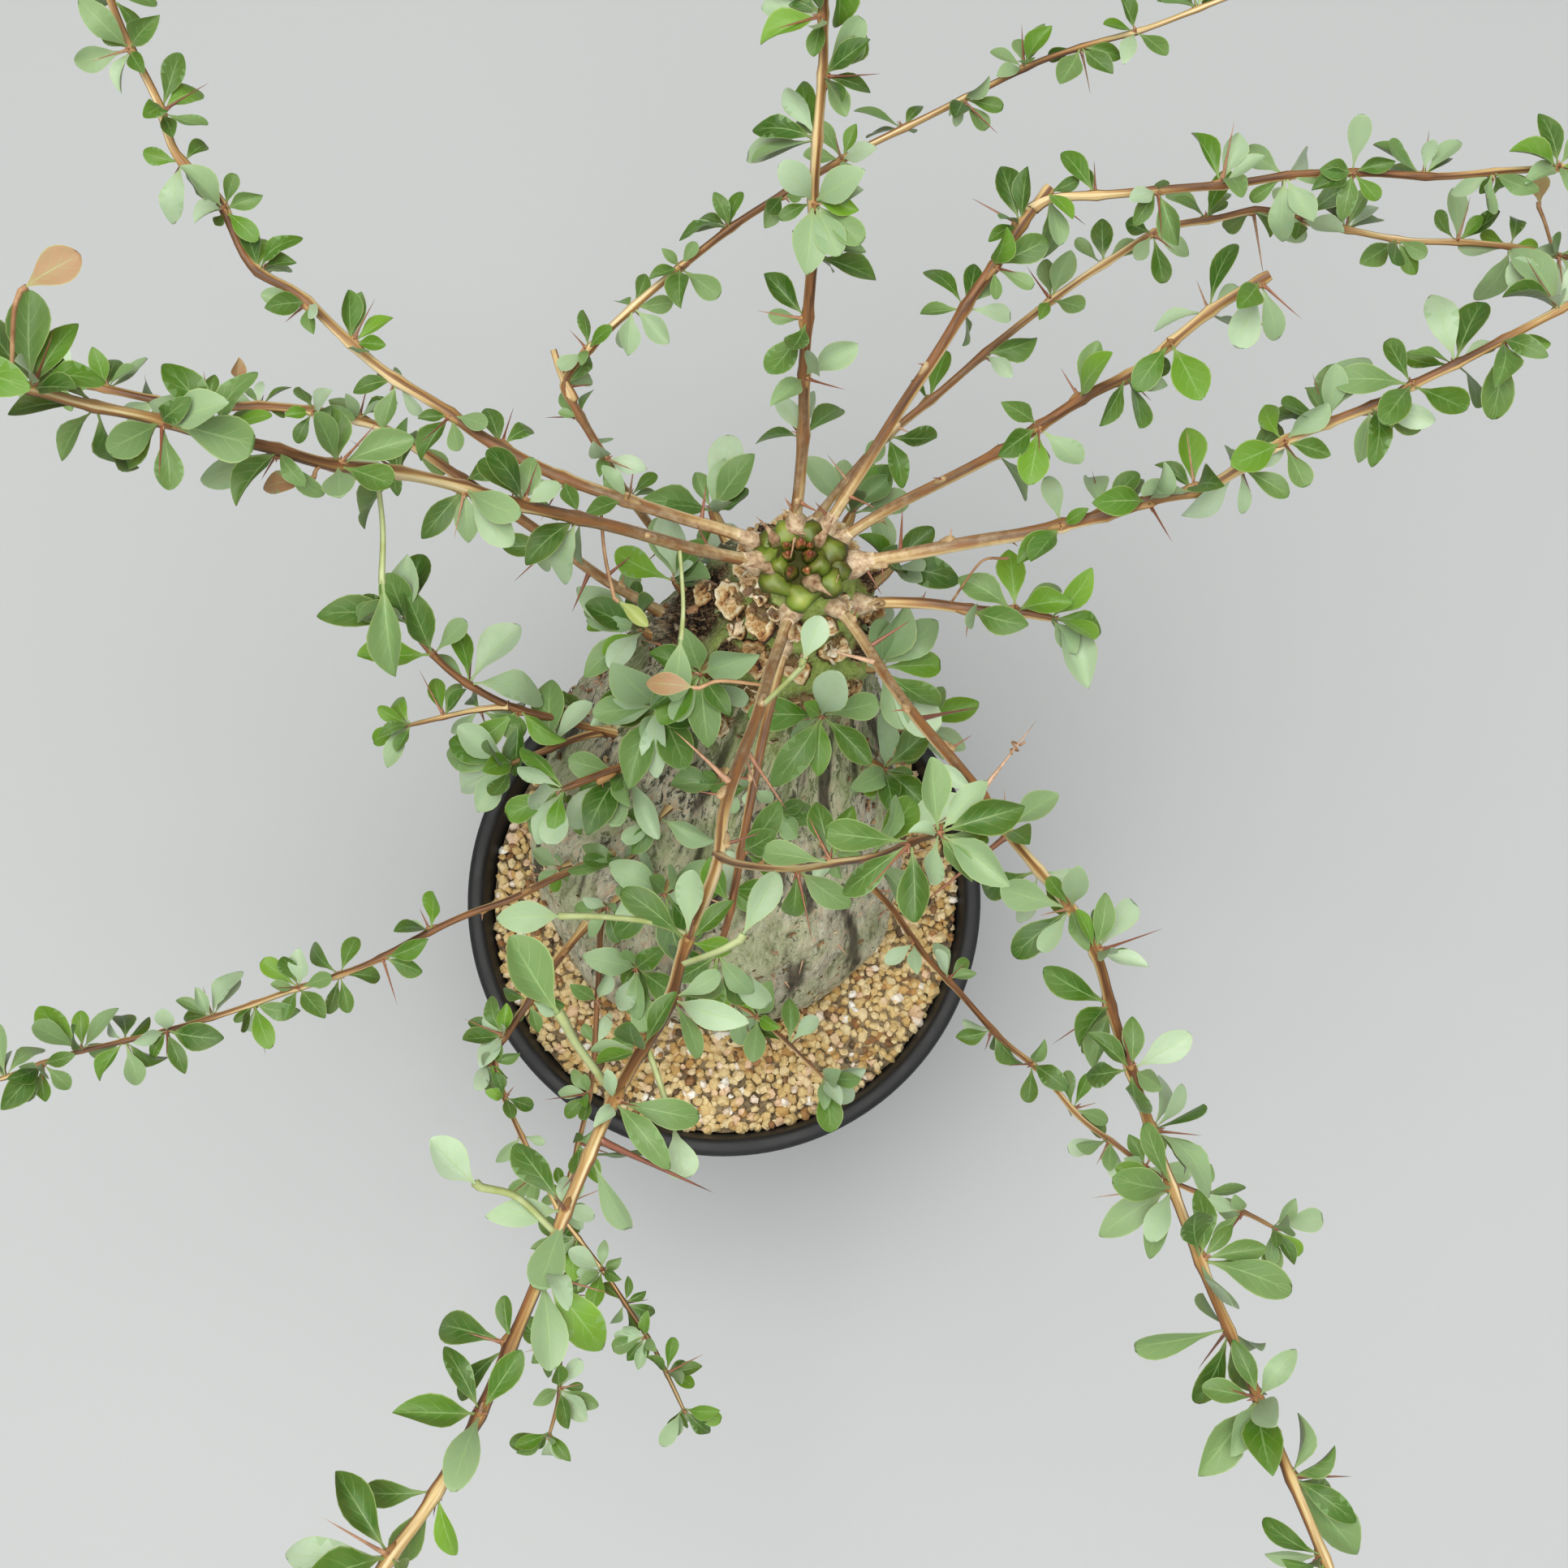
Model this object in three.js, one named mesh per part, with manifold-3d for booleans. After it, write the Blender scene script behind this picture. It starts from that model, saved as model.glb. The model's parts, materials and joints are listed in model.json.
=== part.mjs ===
// A potted caudex succulent: a swollen trunk in a round pot of grit, with a
// green knobbly crown and long thin spiny branches that carry tufts of leaves.
// Millimetres, +Z up. The origin is the centre of the pot's underside, +X is
// to the right and +Y to the back, seen by someone who looks down on it.
import * as THREE from 'three';
import { mergeVertices } from 'three/addons/utils/BufferGeometryUtils.js';
import Module from 'manifold-3d';

const wasm = await Module();
wasm.setup();

// Driving dimensions
const gap = 0.3; // kept between pieces that touch
const apart = 0.8; // kept between the spheres that stand for stems and leaves
const potClear = 6; // height above the rim below which no leaf hangs
const potSides = 32;
const pot = {
  rimRadius: 90,
  height: 150,
  lipWidth: 6,
  lipDepth: 9,
  baseRadius: 64,
  wall: 2.2,
  floor: 3,
  edgeRound: 1.6,
};
const drain = { holes: 6, ring: 42, radius: 4.5, grooveWidth: 7, grooveDepth: 1.6, padRadius: 30 };
const grit = { top: 138, relief: 1.3, rings: [0, 52, 61, 68, 75] };
const trunkSides = 20;
const stemSides = 4;
const tuftBelow = 0.2; // share of a step by which a tuft sits below its point
const leafRatio = 0.43; // width over length
const keelDepth = 1.2; // thickness of a leaf at its midrib
const largeLeaf = 17.5; // from this length on a leaf's narrow stalk is drawn too
const spineRadius = 0.75;
const goldenAngle = 2.39996;

// The trunk from its buried foot to the crown: height, axis x, axis y, radius
const trunkSections = [
  [96, -2, 8, 16],
  [104, -2, 9, 40],
  [118, -2, 11, 55],
  [138, -2, 13, 60],
  [158, -2, 17, 62.5],
  [180, -1, 24, 61],
  [200, 0, 30, 58],
  [220, 3, 36, 53],
  [240, 7, 43, 45.5],
  [258, 10, 49, 38.5],
  [275, 15, 56, 31.5],
  [290, 19, 61, 26],
  [303, 22, 64, 21.5],
  [316, 25, 66, 17],
  [328, 25.5, 66.5, 14],
  [337, 25, 66, 11.5],
  [343, 25, 66, 7.5],
  [346, 25, 66, 3],
];
const crown = { knobs: 9, knobRadius: 3.1, spread: 3.6, top: 345.5 };
// Corky scars and dead woody knobs of the neck: angle in degrees, height, radius
const woodyKnobs = [
  [-135, 324, 3.4],
  [-121, 311, 3.8],
  [-92, 325, 3],
  [-138, 302, 4.4],
  [-31, 302, 4.8],
  [-168, 298, 4.6],
  [6, 316, 3.6],
  [128, 325, 3.4],
];

// Every leafy stem is a list of points chosen by hand, from inside the trunk
// to its tip. A node of the stem, with a tuft of leaves and a spine, sits on
// each point from leafFrom on. A cut stem ends blunt.
const plants = [
  {
    name: 'branch_back_left',
    stems: [{
      thick: [2.3, 1.1], leaf: [11, 13], leafFrom: 3,
      route: [[24, 69, 328], [10, 74, 338], [-6, 77, 345], [-24, 81, 352], [-40, 86, 356],
        [-56, 93, 361], [-68, 101, 364], [-82, 109, 368], [-93, 118, 371], [-104, 128, 374],
        [-116, 135, 377], [-124, 151, 382], [-134, 161, 386], [-138, 173, 391],
        [-145, 187, 397], [-149, 198, 402], [-152, 208, 407]],
    }],
  },
  {
    name: 'branch_left_high',
    stems: [{
      thick: [2.2, 1.3], leaf: [13, 17], leafFrom: 4,
      route: [[24, 66, 331], [13, 66, 342], [-3, 65, 358], [-19, 65, 375], [-32, 64, 390],
        [-44, 63, 404], [-56, 63, 418], [-68, 61, 434], [-79, 58, 448], [-89, 58, 459],
        [-99, 57, 470], [-108, 57, 480], [-118, 56, 491], [-127, 56, 501], [-134, 55, 509]],
    }],
  },
  {
    name: 'branch_left_low',
    stems: [{
      thick: [2.1, 1.1], leaf: [12, 12], leafFrom: 3,
      route: [[0, 62, 268], [-16, 68, 282], [-32, 74, 298], [-47, 83, 309], [-59, 90, 316],
        [-71, 97, 322], [-87, 106, 330], [-98, 109, 334], [-110, 110, 338], [-124, 110, 341],
        [-137, 108, 344], [-150, 110, 347], [-163, 112, 350], [-175, 113, 352],
        [-187, 116, 355], [-198, 118, 357]],
    }],
  },
  {
    name: 'branch_back',
    stems: [{
      thick: [2.1, 1.2], leaf: [14, 15.5], leafFrom: 3,
      route: [[25, 68, 330], [24, 76, 343], [25, 83, 356], [26, 94, 371], [26, 105, 384],
        [27, 116, 395], [28, 127, 408], [28, 136, 417], [29, 147, 428], [30, 158, 437],
        [30, 168, 446], [31, 178, 454], [31, 187, 461]],
    }],
  },
  {
    name: 'branch_back_low',
    stems: [
      {
        thick: [1.7, 0.9], leaf: [11, 12.5], leafFrom: 3,
        route: [[6, 68, 262], [-8, 80, 276], [-17, 90, 290], [-25, 98, 305], [-31, 106, 316],
          [-37, 115, 324], [-40, 122, 328], [-31, 131, 334], [-18, 142, 338], [-5, 152, 341],
          [9, 162, 344], [24, 171, 346], [40, 180, 348], [57, 188, 350], [73, 196, 351],
          [90, 204, 353], [105, 209, 354], [120, 213, 355], [137, 219, 357], [151, 224, 359]],
      },
      { thick: [1.4, 1.1], cut: true, route: [[-38, 118, 326], [-41, 124, 329], [-43, 130, 331]] },
    ],
  },
  {
    name: 'branch_back_right',
    stems: [
      {
        thick: [2, 1.7], leaf: [12, 14], leafFrom: 5, cut: true,
        route: [[27, 69, 330], [33, 77, 341], [42, 89, 352], [52, 103, 361], [61, 115, 368],
          [69, 127, 374], [76, 136, 378], [83, 146, 381], [89, 153, 384]],
      },
      {
        thick: [1.5, 1], leaf: [12, 13.5], leafFrom: 2,
        route: [[84, 148, 381.5], [90, 150, 384], [103, 150, 386], [119, 151, 387],
          [135, 152, 388], [151, 154, 389], [168, 154, 390], [186, 153, 390], [203, 154, 391],
          [219, 155, 391], [232, 156, 392]],
      },
    ],
  },
  {
    name: 'branch_back_right_low',
    stems: [{
      thick: [1.5, 0.9], leaf: [12, 13], leafFrom: 3,
      route: [[24, 66, 306], [27, 79, 322], [41, 95, 334], [51, 104, 339], [63, 113, 343],
        [78, 125, 348], [96, 138, 353], [109, 146, 356], [122, 153, 359], [136, 155, 361],
        [148, 157, 362], [160, 153, 363], [172, 150, 364], [185, 147, 365], [201, 146, 366],
        [214, 144, 367], [226, 141, 368], [238, 140, 369]],
    }],
  },
  {
    name: 'branch_right_cut',
    stems: [{
      thick: [1.9, 1.6], leaf: [14, 17], leafFrom: 4, cut: true,
      route: [[27, 68, 326], [38, 74, 340], [50, 79, 350], [68, 85, 362], [78, 89, 368],
        [88, 94, 374], [98, 99, 380], [109, 103, 386], [119, 110, 391], [128, 116, 396],
        [140, 122, 401]],
    }],
  },
  {
    name: 'branch_right',
    stems: [{
      thick: [2.5, 1.2], leaf: [15, 17], leafFrom: 5,
      route: [[27, 66, 328], [38, 67, 335], [52, 68, 341], [71, 70, 347], [84, 71, 351],
        [96, 73, 354], [107, 75, 357], [118, 78, 360], [130, 80, 362], [141, 86, 365],
        [152, 92, 367], [163, 96, 369], [174, 100, 371], [184, 105, 373], [195, 110, 375],
        [207, 116, 377], [221, 123, 380], [233, 130, 383]],
    }],
  },
  {
    name: 'branch_right_short',
    stems: [{
      thick: [2.2, 1.5], leaf: [17, 18], leafFrom: 4,
      route: [[28, 63, 312], [41, 60, 321], [51, 59, 326], [62, 58, 328], [74, 56, 329],
        [86, 55, 330], [95, 53, 331]],
    }],
  },
  {
    name: 'branch_front_right',
    stems: [{
      thick: [2.1, 1.3], leaf: [14, 16.5], leafFrom: 6,
      route: [[27, 63, 324], [34, 57, 333], [41, 46, 342], [48, 32, 351], [56, 18, 361],
        [64, 6, 370], [71, -5, 377], [76, -15, 385], [83, -26, 393], [89, -36, 401],
        [93, -47, 407], [95, -60, 414], [98, -75, 423], [101, -88, 429], [104, -100, 436],
        [108, -115, 444], [112, -128, 451], [116, -141, 458], [120, -155, 466],
        [124, -168, 473], [127, -178, 478]],
    }],
  },
  {
    name: 'branch_front',
    stems: [
      {
        thick: [2.2, 1.6], leaf: [14, 16], leafFrom: 9,
        route: [[25, 62, 326], [23, 54, 337], [20, 42, 348], [17, 30, 361], [14, 16, 374],
          [10, 2, 388], [7, -11, 399], [6, -24, 410], [3, -35, 419], [-1, -47, 428],
          [-4, -60, 437], [-10, -71, 445], [-15, -82, 452], [-19, -93, 459],
          [-23, -104, 465], [-27, -116, 471], [-32, -129, 477], [-37, -141, 482],
          [-44, -154, 489], [-51, -164, 494], [-56, -173, 498]],
      },
      {
        thick: [1.3, 0.9], leaf: [13, 14], leafFrom: 3,
        route: [[6, -23, 409], [11, -27, 425], [18, -30, 441], [25, -32, 456], [32, -33, 472],
          [39, -34, 487], [46, -33, 502], [50, -33, 511]],
      },
    ],
  },
  {
    name: 'branch_front_short',
    stems: [{
      thick: [1.9, 1.2], leaf: [15, 16], leafFrom: 4,
      route: [[24, 60, 314], [20, 42, 323], [16, 24, 327], [12, 4, 325], [9, -12, 320],
        [6, -26, 312], [2, -38, 303]],
    }],
  },
  {
    name: 'shoot_left_long',
    stems: [{
      thick: [1.5, 0.8], leaf: [11, 17], leafFrom: 5,
      route: [[-20, 10, 222], [-34, 3, 229], [-50, -5, 235], [-63, -12, 238], [-76, -17, 240],
        [-90, -24, 242], [-104, -32, 244], [-116, -37, 246], [-128, -41, 247],
        [-141, -46, 249], [-153, -50, 250], [-166, -54, 252], [-178, -57, 253],
        [-190, -60, 254], [-201, -64, 256], [-211, -68, 257], [-221, -70, 259]],
    }],
  },
  {
    name: 'shoot_left_upper',
    stems: [
      {
        thick: [1.8, 1.1], leaf: [17, 21], leafFrom: 3,
        route: [[-18, 36, 246], [-34, 37, 259], [-47, 39, 265], [-61, 42, 270], [-75, 49, 276],
          [-84, 57, 281], [-91, 66, 284]],
      },
      {
        thick: [1.5, 1.1], leaf: [18, 19], leafFrom: 2,
        route: [[-33, 37, 258], [-41, 34, 262], [-51, 29, 266], [-62, 24, 269]],
      },
      {
        thick: [1.1, 0.9], leaf: [14, 12], leafFrom: 1,
        route: [[-61, 42, 270], [-72, 41, 268], [-83, 39, 266], [-93, 37, 264]],
      },
    ],
  },
  {
    name: 'shoot_left_thick',
    stems: [{
      thick: [2.6, 2.1], leaf: [19, 19], leafFrom: 4,
      route: [[-2, 38, 252], [-14, 31, 261], [-26, 25, 266], [-37, 20, 269], [-46, 16, 271]],
    }],
  },
  {
    name: 'shoot_front_left',
    stems: [
      {
        thick: [1.7, 1.4], leaf: [12, 12], leafFrom: 3, cut: true,
        route: [[-32, 0, 184], [-44, -15, 192], [-54, -29, 197], [-63, -43, 200],
          [-70, -54, 202], [-75, -62, 204]],
      },
      {
        thick: [1.1, 0.8], leaf: [10.5, 11], leafFrom: 2,
        route: [[-72, -57, 203], [-71, -63, 204], [-67, -74, 206], [-61, -86, 207],
          [-55, -97, 208], [-49, -108, 210], [-42, -117, 211], [-34, -127, 212],
          [-27, -137, 213], [-20, -147, 214], [-14, -158, 216], [-9, -168, 217]],
      },
    ],
  },
  {
    name: 'shoot_front_thin',
    stems: [{
      thick: [1.3, 0.8], leaf: [11.5, 12], leafFrom: 4,
      route: [[-24, 12, 218], [-34, 2, 214], [-38, -14, 206], [-39, -29, 200],
        [-40, -43, 195], [-41, -58, 191], [-43, -73, 188], [-47, -89, 185], [-51, -105, 183],
        [-52, -121, 183], [-52, -137, 184], [-51, -152, 185], [-51, -166, 187],
        [-54, -179, 189]],
    }],
  },
  {
    name: 'shoot_front_right',
    stems: [{
      thick: [1.4, 0.8], leaf: [12, 13], leafFrom: 3,
      route: [[26, 10, 200], [41, 2, 209], [54, -11, 218], [64, -27, 227], [74, -39, 233],
        [87, -55, 241], [98, -65, 246], [109, -79, 252], [119, -87, 256], [129, -95, 260],
        [144, -102, 264], [155, -107, 268], [162, -111, 271]],
    }],
  },
  {
    name: 'shoot_front_bare',
    stems: [{
      thick: [1.3, 0.7], leaf: [15, 16], leafFrom: 2,
      route: [[-8, -18, 164], [-1, -33, 176], [6, -40, 180], [14, -46, 183], [25, -56, 186],
        [36, -67, 189]],
    }],
  },
  // Short spurs on the trunk, each ending in one rosette of larger leaves
  rosette('rosette_behind_crown', [[12, 74, 292], [3, 87, 302], [0, 92, 307]], 19),
  rosette('rosette_neck_left', [[0, 60, 272], [-16, 61, 279], [-21, 62, 283]], 21),
  rosette('rosette_neck_back', [[4, 68, 282], [-7, 72, 290], [-11, 74, 295]], 18),
  rosette('rosette_neck_front', [[10, 54, 290], [0, 47, 297], [-3, 44, 303]], 18),
  rosette('rosette_shoulder_left', [[2, 50, 266], [-12, 42, 279], [-16, 39, 284]], 22),
  rosette('rosette_shoulder_front', [[20, 54, 278], [30, 38, 291], [32, 33, 296]], 19),
  rosette('rosette_shoulder_right', [[30, 56, 280], [44, 50, 290], [49, 48, 294]], 21),
  rosette('rosette_right', [[34, 66, 292], [47, 72, 301], [52, 75, 305]], 18),
  rosette('rosette_back_right', [[30, 74, 284], [38, 88, 296], [41, 93, 301]], 18),
  rosette('rosette_left', [[-10, 32, 246], [-24, 26, 255], [-29, 23, 260]], 19),
  rosette('rosette_front_left', [[-4, 8, 224], [-13, -6, 233], [-16, -11, 238]], 19),
  rosette('rosette_low_left', [[-16, -8, 190], [-24, -25, 197], [-27, -31, 202]], 18),
  rosette('rosette_front_right', [[36, 34, 240], [47, 28, 251], [52, 25, 257]], 17),
  rosette('rosette_right_low', [[44, 46, 218], [58, 45, 227], [64, 44, 232]], 17),
];

function rosette(name, route, length) {
  const spur = { thick: [2.4, 1.9], leaf: [length, length], leafFrom: 2, leaves: 5, route };
  return { name, stems: [spur] };
}

// A repeatable draw between 0 and 1 from three whole numbers
function chance(a, b, c) {
  const wave = Math.sin(a * 127.1 + b * 311.7 + c * 74.7) * 43758.5453;
  return wave - Math.floor(wave);
}

// Closed body through rings of points, each counted round the way to the tip
function loft(rings) {
  const sides = rings[0].length;
  const index = [];
  for (let r = 0; r + 1 < rings.length; r += 1) {
    for (let k = 0; k < sides; k += 1) {
      const a = r * sides + k;
      const b = r * sides + ((k + 1) % sides);
      index.push(a, b, b + sides, a, b + sides, a + sides);
    }
  }
  const last = (rings.length - 1) * sides;
  for (let k = 1; k + 1 < sides; k += 1) {
    index.push(0, k + 1, k);
    index.push(last, last + k, last + k + 1);
  }
  const geometry = new THREE.BufferGeometry().setFromPoints(rings.flat());
  geometry.setIndex(index);
  return geometry;
}

function toSolid(geometry) {
  let plain = geometry.clone();
  plain.deleteAttribute('normal');
  plain.deleteAttribute('uv');
  plain = mergeVertices(plain, 1e-5);
  return new wasm.Manifold(new wasm.Mesh({
    numProp: 3,
    vertProperties: Float32Array.from(plain.attributes.position.array),
    triVerts: Uint32Array.from(plain.index.array),
  }));
}

function toGeometry(solid) {
  const mesh = solid.getMesh();
  const geometry = new THREE.BufferGeometry();
  const points = Float32Array.from(mesh.vertProperties);
  geometry.setAttribute('position', new THREE.BufferAttribute(points, 3));
  geometry.setIndex(new THREE.BufferAttribute(Uint32Array.from(mesh.triVerts), 1));
  geometry.computeVertexNormals();
  return geometry;
}

// The trunk's axis and radius at a height, between its sections
function trunkAt(z) {
  const top = trunkSections.findIndex((section) => section[0] >= z);
  if (top < 1) return null;
  const low = trunkSections[top - 1];
  const high = trunkSections[top];
  const share = (z - low[0]) / (high[0] - low[0]);
  return low.map((value, i) => value + (high[i] - value) * share);
}

// Shallow lobes and bark lumps, as a share of the radius
function barkRelief(angle, z) {
  const lobes = 0.022 * Math.sin(3 * angle + z * 0.02) + 0.014 * Math.sin(7 * angle - z * 0.05);
  return 1 + lobes + 0.008 * Math.sin(11 * angle + z * 0.13);
}

function knobSolid(centre, radius, stretch) {
  const knob = new THREE.IcosahedronGeometry(radius, 0);
  knob.scale(1, 1, stretch);
  knob.translate(centre.x, centre.y, centre.z);
  return toSolid(knob);
}

// grow swells the trunk to cut a clear seat for what stands in or on it
function trunkSolid(grow) {
  const last = trunkSections.length - 1;
  const rings = trunkSections.map(([z, x, y, radius], i) => {
    const lift = i === 0 ? -grow : i === last ? grow : 0;
    return Array.from({ length: trunkSides }, (_, k) => {
      const angle = (k / trunkSides) * Math.PI * 2;
      const reach = radius * barkRelief(angle, z) + grow;
      return new THREE.Vector3(x + reach * Math.cos(angle), y + reach * Math.sin(angle), z + lift);
    });
  });
  let body = toSolid(loft(rings));
  const axis = trunkAt(crown.top - 1);
  for (let k = 0; k < crown.knobs; k += 1) {
    const away = crown.spread * Math.sqrt(k);
    const angle = k * goldenAngle;
    const drop = (away * away) / 16;
    const place = new THREE.Vector3(
      axis[1] + away * Math.cos(angle),
      axis[2] + away * Math.sin(angle),
      crown.top - drop,
    );
    body = body.add(knobSolid(place, crown.knobRadius + grow, 1.25));
  }
  for (const [degrees, z, radius] of woodyKnobs) {
    const [, x, y, reach] = trunkAt(z);
    const angle = THREE.MathUtils.degToRad(degrees);
    const place = new THREE.Vector3(x + reach * Math.cos(angle), y + reach * Math.sin(angle), z);
    body = body.add(knobSolid(place, radius + grow, 0.9));
  }
  return body;
}

function lathe(outline) {
  const points = outline.map(([radius, z]) => new THREE.Vector2(radius, z));
  const geometry = new THREE.LatheGeometry(points, potSides);
  geometry.rotateX(Math.PI / 2);
  return toSolid(geometry);
}

// Inner radius of the pot's wall at a height
function boreAt(z) {
  const lipInner = pot.rimRadius - pot.lipWidth;
  const low = pot.baseRadius - pot.wall;
  return low + ((lipInner - low) * (z - pot.floor)) / (pot.height - pot.floor);
}

function potSolid() {
  const { rimRadius, height, lipDepth, baseRadius, wall, floor, edgeRound } = pot;
  const lipInner = boreAt(height);
  const underLip = boreAt(height - lipDepth) + wall;
  let body = lathe([
    [0, 0],
    [baseRadius - edgeRound, 0],
    [baseRadius, edgeRound],
    [underLip, height - lipDepth],
    [rimRadius - edgeRound, height - lipDepth],
    [rimRadius, height - lipDepth + edgeRound],
    [rimRadius, height - edgeRound],
    [rimRadius - edgeRound, height],
    [lipInner + edgeRound, height],
    [lipInner, height - edgeRound],
    [baseRadius - wall, floor],
    [0, floor],
  ]);
  for (let k = 0; k < drain.holes; k += 1) {
    const angle = (k / drain.holes) * Math.PI * 2;
    const hole = new THREE.CylinderGeometry(drain.radius, drain.radius, floor * 4, 8);
    hole.rotateX(Math.PI / 2);
    hole.translate(drain.ring, 0, 0);
    hole.rotateZ(angle);
    body = body.subtract(toSolid(hole));
    const run = baseRadius * 1.2 - drain.padRadius;
    const groove = new THREE.BoxGeometry(run, drain.grooveWidth, drain.grooveDepth * 2);
    groove.translate(drain.padRadius + run / 2, 0, 0);
    groove.rotateZ(angle);
    body = body.subtract(toSolid(groove));
  }
  return body;
}

// The grit fills the pot to its floor. Its top is uneven, and the trunk
// stands in a plain hole in it.
function gritSolid(hole) {
  const bottom = pot.floor + gap;
  const wallTop = boreAt(grit.top) - gap;
  const wallBottom = boreAt(bottom) - gap;
  const circle = (radius, height) => Array.from({ length: potSides }, (_, k) => {
    const angle = (k / potSides) * Math.PI * 2 + Math.PI / 2;
    return new THREE.Vector3(radius * Math.cos(angle), radius * Math.sin(angle), height(k));
  });
  const rings = [circle(wallBottom, () => bottom), circle(wallTop, () => grit.top)];
  for (const radius of [...grit.rings].reverse()) {
    const height = (k) => grit.top + (chance(k, radius, 5) - 0.35) * grit.relief * 2;
    rings.push(circle(Math.max(radius, 1), height));
  }
  return toSolid(loft(rings)).subtract(hole);
}

// Forward, upward and sideways directions of a stem at one point of its route
function stemFrame(curve, t) {
  const along = curve.getTangent(t);
  const side = new THREE.Vector3().crossVectors(along, new THREE.Vector3(0, 0, 1));
  if (side.length() < 0.05) side.set(1, 0, 0);
  side.normalize();
  const lift = new THREE.Vector3().crossVectors(side, along).normalize();
  return { centre: curve.getPoint(t), along, side, lift };
}

function stemRadius(stem, share) {
  return stem.thick[0] + (stem.thick[1] - stem.thick[0]) * share;
}

function stemCurve(stem) {
  const points = stem.route.map((point) => new THREE.Vector3(...point));
  return new THREE.CatmullRomCurve3(points, false, 'catmullrom', 0.5);
}

// One ring at each point of the route, swollen where it carries a tuft
function stemSolid(stem) {
  const curve = stemCurve(stem);
  const steps = stem.route.length - 1;
  const rings = [];
  for (let i = 0; i <= steps; i += 1) {
    const share = i / steps;
    const { centre, side, lift } = stemFrame(curve, share);
    const swell = i >= (stem.leafFrom ?? steps + 1) ? 1.15 : 1;
    const tip = i === steps && !stem.cut ? 0.75 : 1;
    const radius = stemRadius(stem, share) * swell * tip;
    rings.push(Array.from({ length: stemSides }, (_, k) => {
      const angle = (k / stemSides) * Math.PI * 2;
      return centre.clone()
        .addScaledVector(lift, radius * Math.cos(angle))
        .addScaledVector(side, radius * Math.sin(angle));
    }));
  }
  return toSolid(loft(rings));
}

// Half outline of a leaf: share of the length, share of the width
const leafStalk = [0.32, 0.17];
const leafBody = [[0.6, 0.5], [0.95, 0.3]];

// A spatulate blade: narrow at its root, widest past the middle, blunt at the
// tip, flat above and keeled below
function leafSolid({ root, along, face, length, width, cup, arch }) {
  const side = new THREE.Vector3().crossVectors(face, along).normalize();
  const at = (forward, across, rise) => root.clone()
    .addScaledVector(along, forward * length)
    .addScaledVector(side, across * width)
    .addScaledVector(face, rise + arch * length * forward * (1 - forward));
  const outline = length < largeLeaf ? leafBody : [leafStalk, ...leafBody];
  const pairs = outline.length;
  const right = outline.map(([forward, across]) => at(forward, -across, cup * across * width));
  const left = outline.map(([forward, across]) => at(forward, across, cup * across * width));
  const points = [root, ...right, ...left.reverse(), at(0.58, 0, -keelDepth)];
  const leftOf = (k) => pairs * 2 - k;
  const keel = pairs * 2 + 1;
  const index = [0, 1, leftOf(0)];
  for (let k = 0; k + 1 < pairs; k += 1) {
    index.push(1 + k, 2 + k, leftOf(k + 1), 1 + k, leftOf(k + 1), leftOf(k));
  }
  for (let i = 0; i < keel; i += 1) index.push(keel, (i + 1) % keel, i);
  const geometry = new THREE.BufferGeometry().setFromPoints(points);
  geometry.setIndex(index);
  return toSolid(geometry);
}

function spineSolid({ root, along, length }) {
  const side = new THREE.Vector3().crossVectors(along, new THREE.Vector3(0.3, 0.2, 1)).normalize();
  const other = new THREE.Vector3().crossVectors(along, side);
  const points = [0, 1, 2].map((k) => root.clone()
    .addScaledVector(side, spineRadius * Math.cos((k * Math.PI * 2) / 3))
    .addScaledVector(other, spineRadius * Math.sin((k * Math.PI * 2) / 3)));
  points.push(root.clone().addScaledVector(along, length));
  const geometry = new THREE.BufferGeometry().setFromPoints(points);
  geometry.setIndex([0, 1, 3, 1, 2, 3, 2, 0, 3, 0, 2, 1]);
  return toSolid(geometry);
}

// Spheres that stand for stems, leaves and spines while leaves are placed,
// each with the number of the plant that it belongs to
const taken = [];

function isClear(spheres, owner) {
  return spheres.every(([point, radius]) => {
    const trunk = trunkAt(point.z);
    const away = trunk && Math.hypot(point.x - trunk[1], point.y - trunk[2]);
    if (trunk && away < trunk[3] + radius) return false;
    if (point.z < pot.height + potClear) return false;
    return taken.every((other) => other.owner === owner
      || other.point.distanceTo(point) > other.radius + radius + apart);
  });
}

function take(spheres, owner) {
  for (const [point, radius] of spheres) taken.push({ point, radius, owner });
}

function leafSpheres(leaf) {
  const { root, along, length, width } = leaf;
  const at = (share) => root.clone().addScaledVector(along, length * share);
  return [[at(0.4), width * 0.3], [at(0.66), width * 0.55], [at(0.92), width * 0.42]];
}

function spineSpheres(spine) {
  const at = (share) => spine.root.clone().addScaledVector(spine.along, spine.length * share);
  return [0.35, 0.6, 0.8, 1].map((share) => [at(share), 0.8]);
}

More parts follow.
